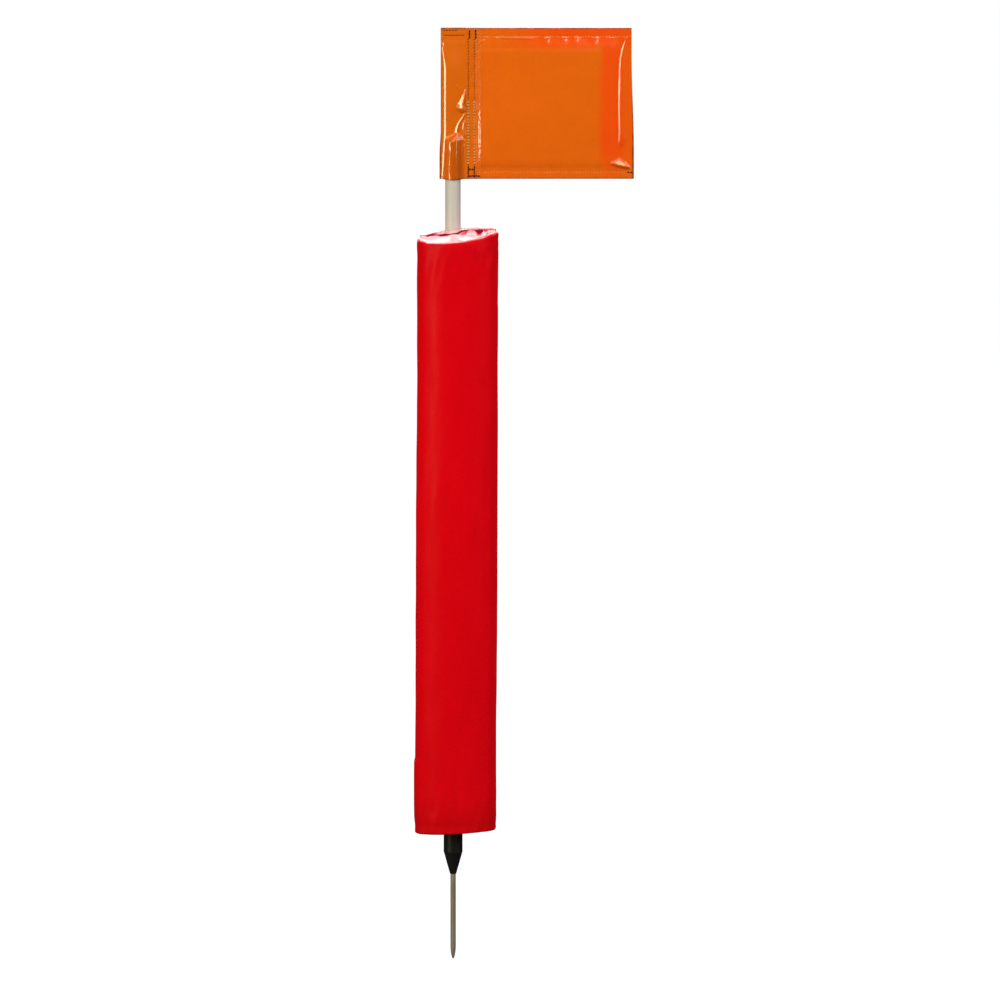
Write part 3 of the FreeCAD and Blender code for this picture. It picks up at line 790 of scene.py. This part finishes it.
def flag_surface(x, z, side):
    """Half thickness of whatever vinyl is outermost there."""
    return np.where(x < LEAF_X, sleeve_half(x, z, side), panel_half(x, z, side))


def stitch(start, way, length, radius, side):
    """Points of one stitch, as rings round its line: it bulges in the middle and dives at its ends."""
    turns = np.linspace(0, TAU, STITCH_SIDES, endpoint=False)
    share = np.linspace(0, 1, STITCH_RINGS)
    x, z = start[:, None] + way[:, None] * length * share
    surface = flag_surface(x[[0, -1]], z[[0, -1]], side).mean()
    height = surface - 0.1 * radius + STITCH_RISE * np.sin(math.pi * share)
    thick = radius * np.sin(math.pi * np.clip(share, *STITCH_BLUNTNESS)) ** 0.5
    across = thick[:, None] * np.cos(turns)
    up = THREAD_FLATNESS * thick[:, None] * np.sin(turns)
    rings = (x[:, None] + way[1] * across, side * (height[:, None] + up), z[:, None] - way[0] * across)
    return np.stack(rings, axis=-1).reshape(-1, 3)


def stitches(name, runs, radius, offset, fill):
    """Rows of single stitches on both faces of the flag. Each run is (start, end), as (x, z) pairs."""
    dice = np.random.default_rng(THREAD_SEED)
    ring = grid_faces(STITCH_RINGS, STITCH_SIDES, closed=True)
    points, faces = [], []
    for start, end in np.array(runs, float):
        length = np.hypot(*(end - start))
        way = (end - start) / length
        for place in np.arange(offset * STITCH_PITCH, length - 0.3 * STITCH_PITCH, STITCH_PITCH):
            for side in (-1, 1):
                wobble = dice.normal(0, STITCH_WOBBLE, 2)
                made = stitch(start + wobble + way * place, way, fill * STITCH_PITCH, radius, side)
                faces.append(ring + len(points) * len(made))
                points.append(made)
    return mesh_object(name, np.concatenate(points), np.concatenate(faces))


def seam_runs(foot_margin, head_margin):
    low, high = box_mm("flag_sheet")
    return [((x, low[2] + foot_margin), (x, high[2] - head_margin)) for x in SEAM_XS]


def hem_runs():
    low, high = box_mm("flag_sheet")
    levels = (low[2] + HEM + HEM_SEAM_SHIFTS[0], high[2] - HEM + HEM_SEAM_SHIFTS[1])
    return [((LEAF_X + HEM_RUN_MARGINS[0], z), (high[0] - HEM_RUN_MARGINS[1], z)) for z in levels]


def tack_runs():
    """Back-stitched ends of the seams, the cross stitches at the foot, and one tack at the fly edge."""
    low, high = box_mm("flag_sheet")
    foot, head = low[2], high[2]
    runs = [((x, foot + SEAM_FOOT_TACK[0]), (x, foot + SEAM_FOOT_TACK[1])) for x in SEAM_XS]
    for seam in SEAM_XS:
        x = seam + HEAD_TACK_SHIFT
        runs.append(((x, head - SEAM_HEAD_TACK[0]), (x, head - SEAM_HEAD_TACK[1])))
    for x, level in CROSS_TACKS:
        runs.append(((SEAM_XS[0], foot + level), (x, foot + level)))
    runs.append([(x, foot + level) for x, level in FLY_TACK])
    return runs


# ---------------------------------------------------------------- finishes

# Places on the part's axes in metres. Each soft edge is (start, end)
COVER_TOP_ZS = (0.73, 0.83)
COVER_FADE_ZS = (0.4, 0.8)
# Painted shade towards the pad's foot
COVER_FOOT_SHADE_ZS = (0.115, 0.062)
# Painted glare on the top: where its whitening is strongest, and how far that reaches
GLARE_POINT = (0.0, -0.026, 0.838)
GLARE_REACH = (0.03, 0.008)
SLIT_EDGE = (-0.0006, 0.0002)
SLIT_CURVE_XS = (0.024, 0.002)
# Painted shade: the dark wedge behind the slit's left part
SHADE_WEDGE_XS = (-0.010, -0.030)
SHADE_WEDGE_START_XS = (-0.008, -0.014)
# Painted shade along the slit: its reach, and where it fades out at the ends
SLIT_SHADE_XS = (0.012, 0.024)
SLIT_SHADE_END_XS = (0.043, 0.037)
CRINKLE_XS = (0.029, 0.031), (0.039, 0.036)
# Painted shade on the sleeve's bulge over the pole
POLE_SHADE_XS = (-0.0055, -0.001), (0.014, 0.009)
POLE_SHADE_TOP_ZS = (0.968, 0.958)
ABOVE_BOARD_XS = (0.03, 0.15)
TARNISH_ZS = (-0.062, -0.04)
WORN_TOP_ZS = (-0.006, 0.012)
SPIKE_RING_ZS = (-0.024, -0.018)
WEAVE_PITCH = 0.0011

MIX_INPUTS = (0, 6, 7)  # of Blender's mix node: the share, then the two colours
MIX_RESULT = 2


class Finish:
    """A node material on the Principled shader, with the object's own place as its coordinates."""

    def __init__(self, name, **constants):
        self.material = bpy.data.materials.new(name)
        self.material.use_nodes = True
        self.tree = self.material.node_tree
        self.shader = self.tree.nodes["Principled BSDF"]
        for socket, value in constants.items():
            self.shader.inputs[socket.replace("_", " ")].default_value = value
        self.place = self.node("ShaderNodeTexCoord").outputs["Object"]

    def node(self, kind, **settings):
        made = self.tree.nodes.new(kind)
        for key, value in settings.items():
            setattr(made, key, value)
        return made

    def put(self, socket, value):
        """Links an input to another node's output, or sets its value."""
        if isinstance(value, bpy.types.NodeSocket):
            self.tree.links.new(value, socket)
        else:
            socket.default_value = value

    def feed(self, node, **values):
        """Sets or links a node's inputs by name."""
        for key, value in values.items():
            self.put(node.inputs[key.replace("_", " ")], value)
        return node

    def stretched(self, scale):
        """Coordinates scaled along each axis."""
        return self.feed(self.node("ShaderNodeMapping"), Vector=self.place, Scale=scale).outputs[0]

    def noise(self, size, detail=3.0, scale=(1, 1, 1), roughness=0.55):
        """Noise from 0 to 1 in lumps about size metres across."""
        made = self.node("ShaderNodeTexNoise")
        where = self.stretched(scale)
        self.feed(made, Vector=where, Scale=1 / size, Detail=detail, Roughness=roughness)
        return made.outputs["Fac"]

    def weave(self, pitch, direction):
        made = self.node("ShaderNodeTexWave", bands_direction=direction)
        self.feed(made, Vector=self.place, Scale=0.314 / pitch, Distortion=0.4, Detail=1.0)
        return made.outputs["Fac"]

    def remap(self, value, low, high, to_low=0.0, to_high=1.0, kind="SMOOTHSTEP"):
        made = self.node("ShaderNodeMapRange", interpolation_type=kind)
        for socket, number in zip(made.inputs, (value, low, high, to_low, to_high)):
            self.put(socket, number)
        return made.outputs[0]

    def uneven(self, size, detail, to_low=0.0, to_high=1.0):
        """A value that wanders from to_low to to_high in lumps about size metres across."""
        return self.remap(self.noise(size, detail), 0.3, 0.7, to_low, to_high)

    def band(self, value, rise, fall):
        """1 between two soft edges."""
        return self.product(self.remap(value, *rise), self.remap(value, *fall))

    def axis(self, name):
        split = self.feed(self.node("ShaderNodeSeparateXYZ"), Vector=self.place)
        return split.outputs[name]

    def math(self, operation, *values):
        made = self.node("ShaderNodeMath", operation=operation)
        for socket, number in zip(made.inputs, values):
            self.put(socket, number)
        return made.outputs[0]

    def product(self, *values):
        return self.math("MULTIPLY", *values)

    def mix(self, share, first, second):
        """Colour between two others."""
        made = self.node("ShaderNodeMix", data_type="RGBA")
        for index, value in zip(MIX_INPUTS, (share, first, second)):
            self.put(made.inputs[index], (*value, 1.0) if isinstance(value, tuple) else value)
        return made.outputs[MIX_RESULT]

    def bump(self, height, distance, strength=1.0, under=None):
        made = self.feed(self.node("ShaderNodeBump"), Height=height, Distance=distance, Strength=strength)
        if under is not None:
            self.feed(made, Normal=under)
        return made.outputs[0]

    def backing_cloth(self, depth):
        """Bump of the cloth behind the vinyl."""
        threads = self.product(self.weave(WEAVE_PITCH, "X"), self.weave(WEAVE_PITCH, "Z"))
        return self.bump(threads, depth, 0.35)

    def paint(self, colour=None, roughness=None, normal=None, coat=None):
        made = {"Base Color": colour, "Roughness": roughness, "Normal": normal, "Coat Weight": coat}
        for socket, value in made.items():
            if value is not None:
                self.tree.links.new(value, self.shader.inputs[socket])
        return self.material


def cover_vinyl(name, coat):
    """Glossy red coated cloth: faint weave under the coat, uneven colour, darker towards the top, and painted
    shade towards the foot.
    """
    look = Finish(name, Specular_IOR_Level=0.03, Coat_Weight=coat, Coat_Roughness=0.16)
    deep, bright = (0.79, 0.0012, 0.006), (0.87, 0.0018, 0.0075)
    streaked, grainy = (0.66, 0.001, 0.009), (0.62, 0.001, 0.012)
    worn, upper, lower = (0.52, 0.004, 0.016), (0.66, 0.001, 0.006), (0.52, 0.003, 0.006)
    colour = look.mix(look.remap(look.noise(0.09, 4, (1, 1, 0.3)), 0.35, 0.68), deep, bright)
    streaks = look.remap(look.noise(0.012, 3, (1, 1, 0.06)), 0.55, 0.8, 0.0, 0.35)
    colour = look.mix(streaks, colour, streaked)
    colour = look.mix(look.remap(look.noise(0.0032, 3), 0.42, 0.72, 0.0, 0.4), colour, grainy)
    height = look.axis("Z")
    near_top = look.product(look.remap(height, *COVER_TOP_ZS), look.noise(0.007, 5))
    colour = look.mix(look.remap(near_top, 0.3, 0.75, 0.0, 0.6), colour, worn)
    colour = look.mix(look.remap(height, *COVER_FADE_ZS, 0.0, 0.45), colour, upper)
    # Painted shade: the cover darker towards its foot
    colour = look.mix(look.remap(height, *COVER_FOOT_SHADE_ZS, 0.0, 0.45), colour, lower)
    normal = look.backing_cloth(0.00006)
    normal = look.bump(look.noise(0.0035, 2), 0.00025, 0.4, normal)
    normal = look.bump(look.noise(0.03, 2, (1, 1, 0.4)), 0.0012, 0.35, normal)
    return look, colour, look.uneven(0.03, 4, 0.28, 0.38), normal


def wall_vinyl():
    look, colour, rough, normal = cover_vinyl("red_cover_vinyl", 0.008)
    return look.paint(colour, rough, normal)


def top_vinyl(name, coat):
    """The cover's vinyl on top: painted glare whitening it all over, most in front of the pole, and painted
    shade in a wedge behind the slit and along the slit.
    """
    look, colour, rough, normal = cover_vinyl(name, coat)
    glare_white, wedge_shade_red, shade_dark = (0.95, 0.72, 0.82), (0.5, 0.004, 0.03), (0.26, 0.003, 0.035)
    # Painted glare: the top is whitened all over, most in front of the pole
    from_glare = look.feed(look.node("ShaderNodeVectorMath", operation="DISTANCE"), Vector=look.place)
    from_glare.inputs[1].default_value = GLARE_POINT
    glare = look.remap(from_glare.outputs["Value"], *GLARE_REACH, 0.1, 0.95)
    colour = look.mix(look.product(look.uneven(0.008, 5, 0.7, 1.0), glare), colour, glare_white)
    across = look.axis("X")
    off_middle = look.math("ABSOLUTE", across)
    slit = look.remap(off_middle, *SLIT_CURVE_XS, 0.0, SLIT_FRONT_Y * MM)
    behind = look.math("SUBTRACT", look.axis("Y"), slit)
    past_slit = look.remap(behind, *SLIT_EDGE)
    # Painted shade: a dark red wedge on the back flap behind the slit's left part, which also loses its gloss
    wedge = look.remap(across, *SHADE_WEDGE_XS, 0.0018, 0.011)
    wedge_shade = look.product(look.remap(behind, look.product(wedge, 1.3), wedge), past_slit)
    wedge_shade = look.product(wedge_shade, look.remap(across, *SHADE_WEDGE_START_XS))
    colour = look.mix(wedge_shade, colour, wedge_shade_red)
    # Painted shade in the slit: a dark band on the back flap just behind it, which also loses its gloss
    reach = look.remap(off_middle, *SLIT_SHADE_XS, 0.0014, 0.005)
    edge_shade = look.product(past_slit, look.remap(behind, look.product(reach, 1.35), reach))
    edge_shade = look.product(edge_shade, look.remap(off_middle, *SLIT_SHADE_END_XS))
    colour = look.mix(edge_shade, colour, shade_dark)
    gloss = look.remap(look.math("MAXIMUM", wedge_shade, edge_shade), 0.0, 1.0, coat, 0.0, "LINEAR")
    return look.paint(colour, rough, normal, gloss)


def flag_vinyl(name, colours, zone, outline, haze):
    """Glossy orange vinyl, mottled, with a zone of another colour and painted shade along its edges."""
    plain, other = colours
    shade_dark, grimy = (0.16, 0.035, 0.006), (0.35, 0.09, 0.01)
    look = Finish(name, Specular_IOR_Level=0.22, Coat_Weight=1.0, Coat_Roughness=haze)
    colour = look.mix(look.uneven(0.02, 4), plain, tuple(0.96 * c for c in plain))
    wander = look.product(look.math("SUBTRACT", look.noise(0.03, 2), 0.5), 0.008)
    x = look.math("ADD", look.axis("X"), wander)
    z = look.math("ADD", look.axis("Z"), wander)
    colour = look.mix(zone(look, x, z), colour, other)
    # Painted shade: a dark band within about 2 mm of the folded outline
    edge_shade = 0.0
    for axis, edge, inward in outline:
        near = look.remap(look.axis(axis), edge + inward * 0.0022, edge + inward * 0.0004)
        edge_shade = look.math("MAXIMUM", near, edge_shade)
    edge_shade = look.product(edge_shade, look.remap(look.noise(0.01, 3), 0.35, 0.6, 0.35, 0.85))
    colour = look.mix(edge_shade, colour, shade_dark)
    colour = look.mix(look.remap(look.noise(0.0035, 4), 0.5, 0.75, 0.0, 0.14), colour, grimy)
    normal = look.bump(look.noise(0.004, 2), 0.0002, 0.3, look.backing_cloth(0.00005))
    crinkles = look.product(look.noise(0.0017, 2), look.band(look.axis("X"), *CRINKLE_XS))
    normal = look.bump(crinkles, 0.0012, 0.8, normal)
    return look.paint(colour, look.uneven(0.02, 4, 0.16, 0.26), normal)


def beside_board(look, x, z):
    """Near 1 where light passes the flag beside and above its board, and 0 over the board.

    It fades towards the fly edge and the foot.
    """
    low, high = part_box("flag_stiffener")
    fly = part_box("flag_sheet")[1].x
    beside = look.remap(x, high.x - 0.009, high.x + 0.005)
    beside = look.product(beside, look.remap(x, fly - 0.018, fly - 0.011, 1.0, 0.55))
    above = look.product(look.remap(z, high.z - 0.004, high.z + 0.01), look.remap(x, *ABOVE_BOARD_XS))
    zone = look.math("MAXIMUM", beside, above)
    return look.product(zone, look.remap(z, low.z - 0.01, low.z + 0.024, 0.3, 1.0))


def pole_bulge_shade(look, x, z):
    """1 for painted shade where the sleeve bulges over the pole and its cap, mostly on the bulge's right-hand
    slope.
    """
    return look.product(look.band(x, *POLE_SHADE_XS), look.remap(z, *POLE_SHADE_TOP_ZS))


def thread(name, light, dark):
    look = Finish(name, Specular_IOR_Level=0.2)
    twist = look.noise(0.0006, 2)
    colour = look.mix(look.remap(twist, 0.35, 0.65), dark, light)
    rough = look.remap(twist, 0.3, 0.7, 0.45, 0.7)
    return look.paint(colour, rough, look.bump(twist, 0.0002, 0.6))


def tube_plastic():
    """Off-white extruded tube: drawn lines along it, faint yellowing, a few scuffs."""
    look = Finish("pole_pvc", Specular_IOR_Level=0.45)
    pale, yellowed = (0.64, 0.62, 0.65), (0.59, 0.565, 0.585)
    drawn, scuffed = (0.49, 0.465, 0.44), (0.42, 0.39, 0.36)
    lines = look.noise(0.0025, 3, (1, 1, 0.015))
    cloudy = look.noise(0.04, 4, (1, 1, 0.4))
    colour = look.mix(look.remap(cloudy, 0.3, 0.7), pale, yellowed)
    colour = look.mix(look.remap(lines, 0.5, 0.75, 0, 0.35), colour, drawn)
    colour = look.mix(look.remap(look.noise(0.004, 6, (1, 1, 0.25)), 0.66, 0.72, 0, 0.5), colour, scuffed)
    rough = look.remap(lines, 0.3, 0.7, 0.32, 0.48)
    return look.paint(colour, rough, look.bump(lines, 0.00008, 0.5))


def black_plastic():
    """Satin black moulding: fine spark grain, a little dust that lies in it."""
    look = Finish("black_moulding", Specular_IOR_Level=0.4)
    black, dusty = (0.0085, 0.008, 0.008), (0.03, 0.028, 0.026)
    colour = look.mix(look.remap(look.noise(0.006, 6), 0.5, 0.75, 0, 0.3), black, dusty)
    grain = look.bump(look.noise(0.0006, 2), 0.00004, 0.5)
    return look.paint(colour, look.uneven(0.01, 4, 0.34, 0.5), grain)


def spike_steel():
    """Dull drawn rod: lines along it, brown tarnish in the middle, greyer towards the point."""
    look = Finish("tarnished_steel", Metallic=0.4)
    tan, grey, worn = (0.36, 0.275, 0.215), (0.33, 0.295, 0.255), (0.40, 0.345, 0.285)
    rusty, grooved = (0.16, 0.075, 0.035), (0.16, 0.13, 0.11)
    lines = look.noise(0.0012, 3, (1, 1, 0.03))
    patches = look.noise(0.012, 5, (1, 1, 0.5))
    height = look.axis("Z")
    level = look.math("ADD", height, look.product(patches, 0.03))
    colour = look.mix(look.remap(level, *TARNISH_ZS), grey, tan)
    colour = look.mix(look.remap(level, *WORN_TOP_ZS), colour, worn)
    rust = look.remap(look.noise(0.003, 6), 0.6, 0.72, 0, 0.45)
    colour = look.mix(rust, colour, rusty)
    rings = look.product(look.weave(0.0026, "Z"), look.remap(height, *SPIKE_RING_ZS))
    colour = look.mix(look.product(rings, 0.35), colour, grooved)
    normal = look.bump(lines, 0.00008, 0.6, look.bump(rings, 0.0003, 0.6))
    return look.paint(colour, look.remap(patches, 0.3, 0.7, 0.36, 0.6), look.bump(rust, 0.00006, 0.5, normal))


def bright_metal(name, light, dark):
    look = Finish(name, Metallic=1.0)
    brushed = look.noise(0.0008, 4)
    colour = look.mix(look.remap(brushed, 0.35, 0.7), light, dark)
    return look.paint(colour, look.uneven(0.004, 5, 0.22, 0.42), look.bump(brushed, 0.00003, 0.5))


def rubber():
    look = Finish("stop_ring_rubber", Specular_IOR_Level=0.3)
    black, dusty = (0.012, 0.012, 0.012), (0.05, 0.047, 0.044)
    colour = look.mix(look.remap(look.noise(0.004, 5), 0.45, 0.75, 0, 0.4), black, dusty)
    grain = look.bump(look.noise(0.0008, 3), 0.0001, 0.4)
    return look.paint(colour, look.uneven(0.002, 4, 0.6, 0.8), grain)


def board():
    look = Finish("stiffener_board", Specular_IOR_Level=0.3)
    pale, stained = (0.70, 0.70, 0.68), (0.60, 0.60, 0.58)
    flutes = look.bump(look.weave(0.004, "X"), 0.0002, 0.4)
    return look.paint(look.mix(look.noise(0.01, 4), pale, stained), look.uneven(0.004, 3, 0.45, 0.6), flutes)


def grey_plastic():
    look = Finish("plug_moulding", Specular_IOR_Level=0.4)
    dark, light = (0.10, 0.10, 0.105), (0.13, 0.13, 0.135)
    grain = look.bump(look.noise(0.0008, 2), 0.00005, 0.5)
    return look.paint(look.mix(look.noise(0.008, 4), dark, light), look.uneven(0.006, 4, 0.4, 0.55), grain)


# ---------------------------------------------------------------- making the object

FRONT_FLAP_COAT = 0.37
BACK_FLAP_COAT = 0.25
FLAG_HAZE = 0.09
SLEEVE_HAZE = 0.06


def make_pad():
    red = wall_vinyl()
    wall = dress(pad_wall(), "pad", red, "cover_vinyl", "pad_cover", "pad_foam")
    front_vinyl = top_vinyl("red_front_flap_vinyl", FRONT_FLAP_COAT)
    back_vinyl = top_vinyl("red_back_flap_vinyl", BACK_FLAP_COAT)
    for made, material, node, flat, area in (
        (pad_front_flap(), front_vinyl, "pad_top_front_flap", (0.102, 0.034), 0.0026),
        (pad_back_flap(), back_vinyl, "pad_top_back_flap", (0.100, 0.038), 0.0021),
        (pad_foot_panel(), red, "pad_bottom_panel", (0.098, 0.056), 0.0041),
        (pad_back_tape(), red, "pad_cover_back_tape", (0.022, 0.764), None),
    ):
        dress(made, "pad", material, "cover_vinyl", node)


def make_flag():
    low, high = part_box("flag_sheet")
    ends = (("Z", high.z, -1), ("Z", low.z, 1))
    flag_colours = (0.86, 0.147, 0.002), (0.95, 0.088, 0.001)
    # The sleeve's second colour is the painted shade over the pole's bulge
    sleeve_colours = (0.77, 0.146, 0.0015), (0.57, 0.105, 0.001)
    fly = ("X", high.x - 0.001, -1)
    fold = ("X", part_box("flag_pole_sleeve")[0].x - 0.0005, 1)
    vinyl = flag_vinyl("flag_orange_vinyl", flag_colours, beside_board, (fly, *ends), FLAG_HAZE)
    outline = (fold, *ends)
    sleeve_finish = flag_vinyl("sleeve_orange_vinyl", sleeve_colours, pole_bulge_shade, outline, SLEEVE_HAZE)
    panel = dress(flag_panel(), "flag", vinyl, "flag_vinyl", "flag_sheet")
    sleeve = dress(pole_sleeve(), "flag", sleeve_finish, "sleeve_vinyl", "flag_pole_sleeve")
    orange_thread = thread("orange_thread", (1.0, 0.36, 0.11), (0.75, 0.2, 0.05))
    pale_thread = thread("pale_thread", (1.0, 0.66, 0.24), (1.0, 0.5, 0.13))
    dark_thread = thread("dark_thread", (0.06, 0.018, 0.005), (0.025, 0.007, 0.002))
    rows = (
        ("flag_seam_stitches", seam_runs(18, 14), 0.85, 0.0, 0.45, dark_thread, ["pocket_stitch_rows"]),
        ("flag_seam_pale_stitches", seam_runs(18, 96), 1.0, 0.5, 0.5, pale_thread, []),
        ("flag_hem_stitches", hem_runs(), 0.5, 0.0, 0.6, orange_thread, ["hem_stitch_rows"]),
        ("flag_seam_tacks", tack_runs(), 1.1, 0.0, 0.95, dark_thread, ["pocket_bar_tacks"]),
        ("sleeve_top_stitches", SLEEVE_TOP_RUNS, 0.6, 0.0, 0.8, dark_thread, ["sleeve_top_stitch_rows"]),
    )
    for name, runs, radius, offset, fill, material, nodes in rows:
        dress(stitches(name, runs, radius, offset, fill), "flag", material, "thread", *nodes)


def finish_cad_nodes(nodes):
    """Gives each carried-over CAD node its own finish."""
    black = black_plastic()
    finishes = {
        "ground_spike": spike_steel(),
        "ferrule": black,
        "pole_cap": black,
        "pole_foot_plug": grey_plastic(),
        "pole_screw": bright_metal("zinc_screw", (0.62, 0.62, 0.6), (0.45, 0.45, 0.44)),
        "pole_tube": tube_plastic(),
        "stop_ring": rubber(),
        "pad_bottom_eyelet": bright_metal("nickel_eyelet", (0.66, 0.63, 0.58), (0.5, 0.47, 0.42)),
        "flag_stiffener": board(),
    }
    for name, material in finishes.items():
        nodes[name].data.materials.clear()
        nodes[name].data.materials.append(material)


# ---------------------------------------------------------------- studio

FLOOR_GAP = 0.5
FLOOR_REACH = 40000.0
SENSOR_WIDTH = 36.0

WARM = (1.0, 0.92, 0.62)
WHITE = (1.0, 1.0, 1.0)
MARKER_MIDDLE = (0.06, 0.0, 0.6)

# Soft boxes: place, width and height, brightness, the point they face, colour
SOFT_BOXES = {
    "strip_left": ((-2.5, -2.4, 1.45), (0.5, 3.1), 17.0, MARKER_MIDDLE, WARM),
    "strip_right": ((2.6, -2.4, 1.5), (0.35, 2.5), 5.0, MARKER_MIDDLE, WARM),
    "side_right": ((3.2, -0.7, 2.3), (2.2, 2.2), 3.6, MARKER_MIDDLE, WHITE),
    "front_top": ((0.0, -2.3, 3.6), (5.0, 2.6), 1.8, MARKER_MIDDLE, (1.0, 0.97, 0.88)),
    "front_low": ((0.75, -4.2, 1.9), (0.6, 0.7), 10.0, (0.2, 0.0, 0.93), WARM),
    "back_top": ((0.0, 2.9, 3.0), (3.6, 3.2), 6.0, (0.0, 0.0, 0.84), WHITE),
}


def studio_floor():
    """Pale floor, bright enough to lose its shadows. Reflections and bounce light skip it."""
    look = Finish("studio_floor", Specular_IOR_Level=0.0, Roughness=1.0, Emission_Strength=1.0)
    look.feed(look.shader, Emission_Color=(1.0, 1.0, 1.0, 1.0))
    material = look.paint(look.mix(look.noise(2.0, 1), (0.06, 0.06, 0.06), (0.05, 0.05, 0.05)))
    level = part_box("ground_spike")[0].z / MM - FLOOR_GAP
    ends = (-FLOOR_REACH, FLOOR_REACH)
    x, y = np.meshgrid(ends, ends)
    floor = grid_object("studio_floor", x, y, np.full_like(x, level))
    floor.data.materials.append(material)
    floor.visible_glossy = False
    floor.visible_diffuse = False


def area_light(name, place, size, radiance, aim, colour):
    """Soft box of the given size and brightness, turned to face the marker."""
    data = bpy.data.lights.new(name, "AREA")
    data.shape = "RECTANGLE"
    data.size, data.size_y = size
    data.energy = radiance * size[0] * size[1] * math.pi
    data.color = colour
    light = bpy.data.objects.new(name, data)
    light.location = place
    light.rotation_euler = (Vector(aim) - Vector(place)).to_track_quat("-Z", "Y").to_euler()
    bpy.context.scene.collection.objects.link(light)


def studio_world():
    """White to the camera, nearly dark to everything else, so the soft boxes do the lighting."""
    world = bpy.data.worlds.new("studio")
    bpy.context.scene.world = world
    world.use_nodes = True
    tree = world.node_tree
    seen = tree.nodes.new("ShaderNodeLightPath")
    colour = tree.nodes.new("ShaderNodeMix")
    colour.data_type = "RGBA"
    share, unseen, backdrop = (colour.inputs[index] for index in MIX_INPUTS)
    unseen.default_value = (0.05, 0.05, 0.05, 1)
    backdrop.default_value = (1, 1, 1, 1)
    tree.links.new(seen.outputs["Is Camera Ray"], share)
    tree.links.new(colour.outputs[MIX_RESULT], tree.nodes["Background"].inputs["Color"])


def studio_camera():
    data = bpy.data.cameras.new("camera")
    data.lens = CAMERA_LENS
    data.sensor_width = SENSOR_WIDTH
    data.clip_end = 2 * CAMERA_DISTANCE
    camera = bpy.data.objects.new("camera", data)
    back = Vector((0, -math.cos(CAMERA_ELEVATION), math.sin(CAMERA_ELEVATION)))
    camera.location = CAMERA_AIM + back * CAMERA_DISTANCE
    camera.rotation_euler = (-back).to_track_quat("-Z", "Y").to_euler()
    bpy.context.scene.collection.objects.link(camera)
    bpy.context.scene.camera = camera
    bpy.context.scene.view_settings.view_transform = "Standard"


def main():
    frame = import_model()
    studio_camera()
    make_pad()
    make_flag()
    finish_cad_nodes(frame["nodes"])
    studio_floor()
    studio_world()
    for name, settings in SOFT_BOXES.items():
        area_light(name, *settings)


main()
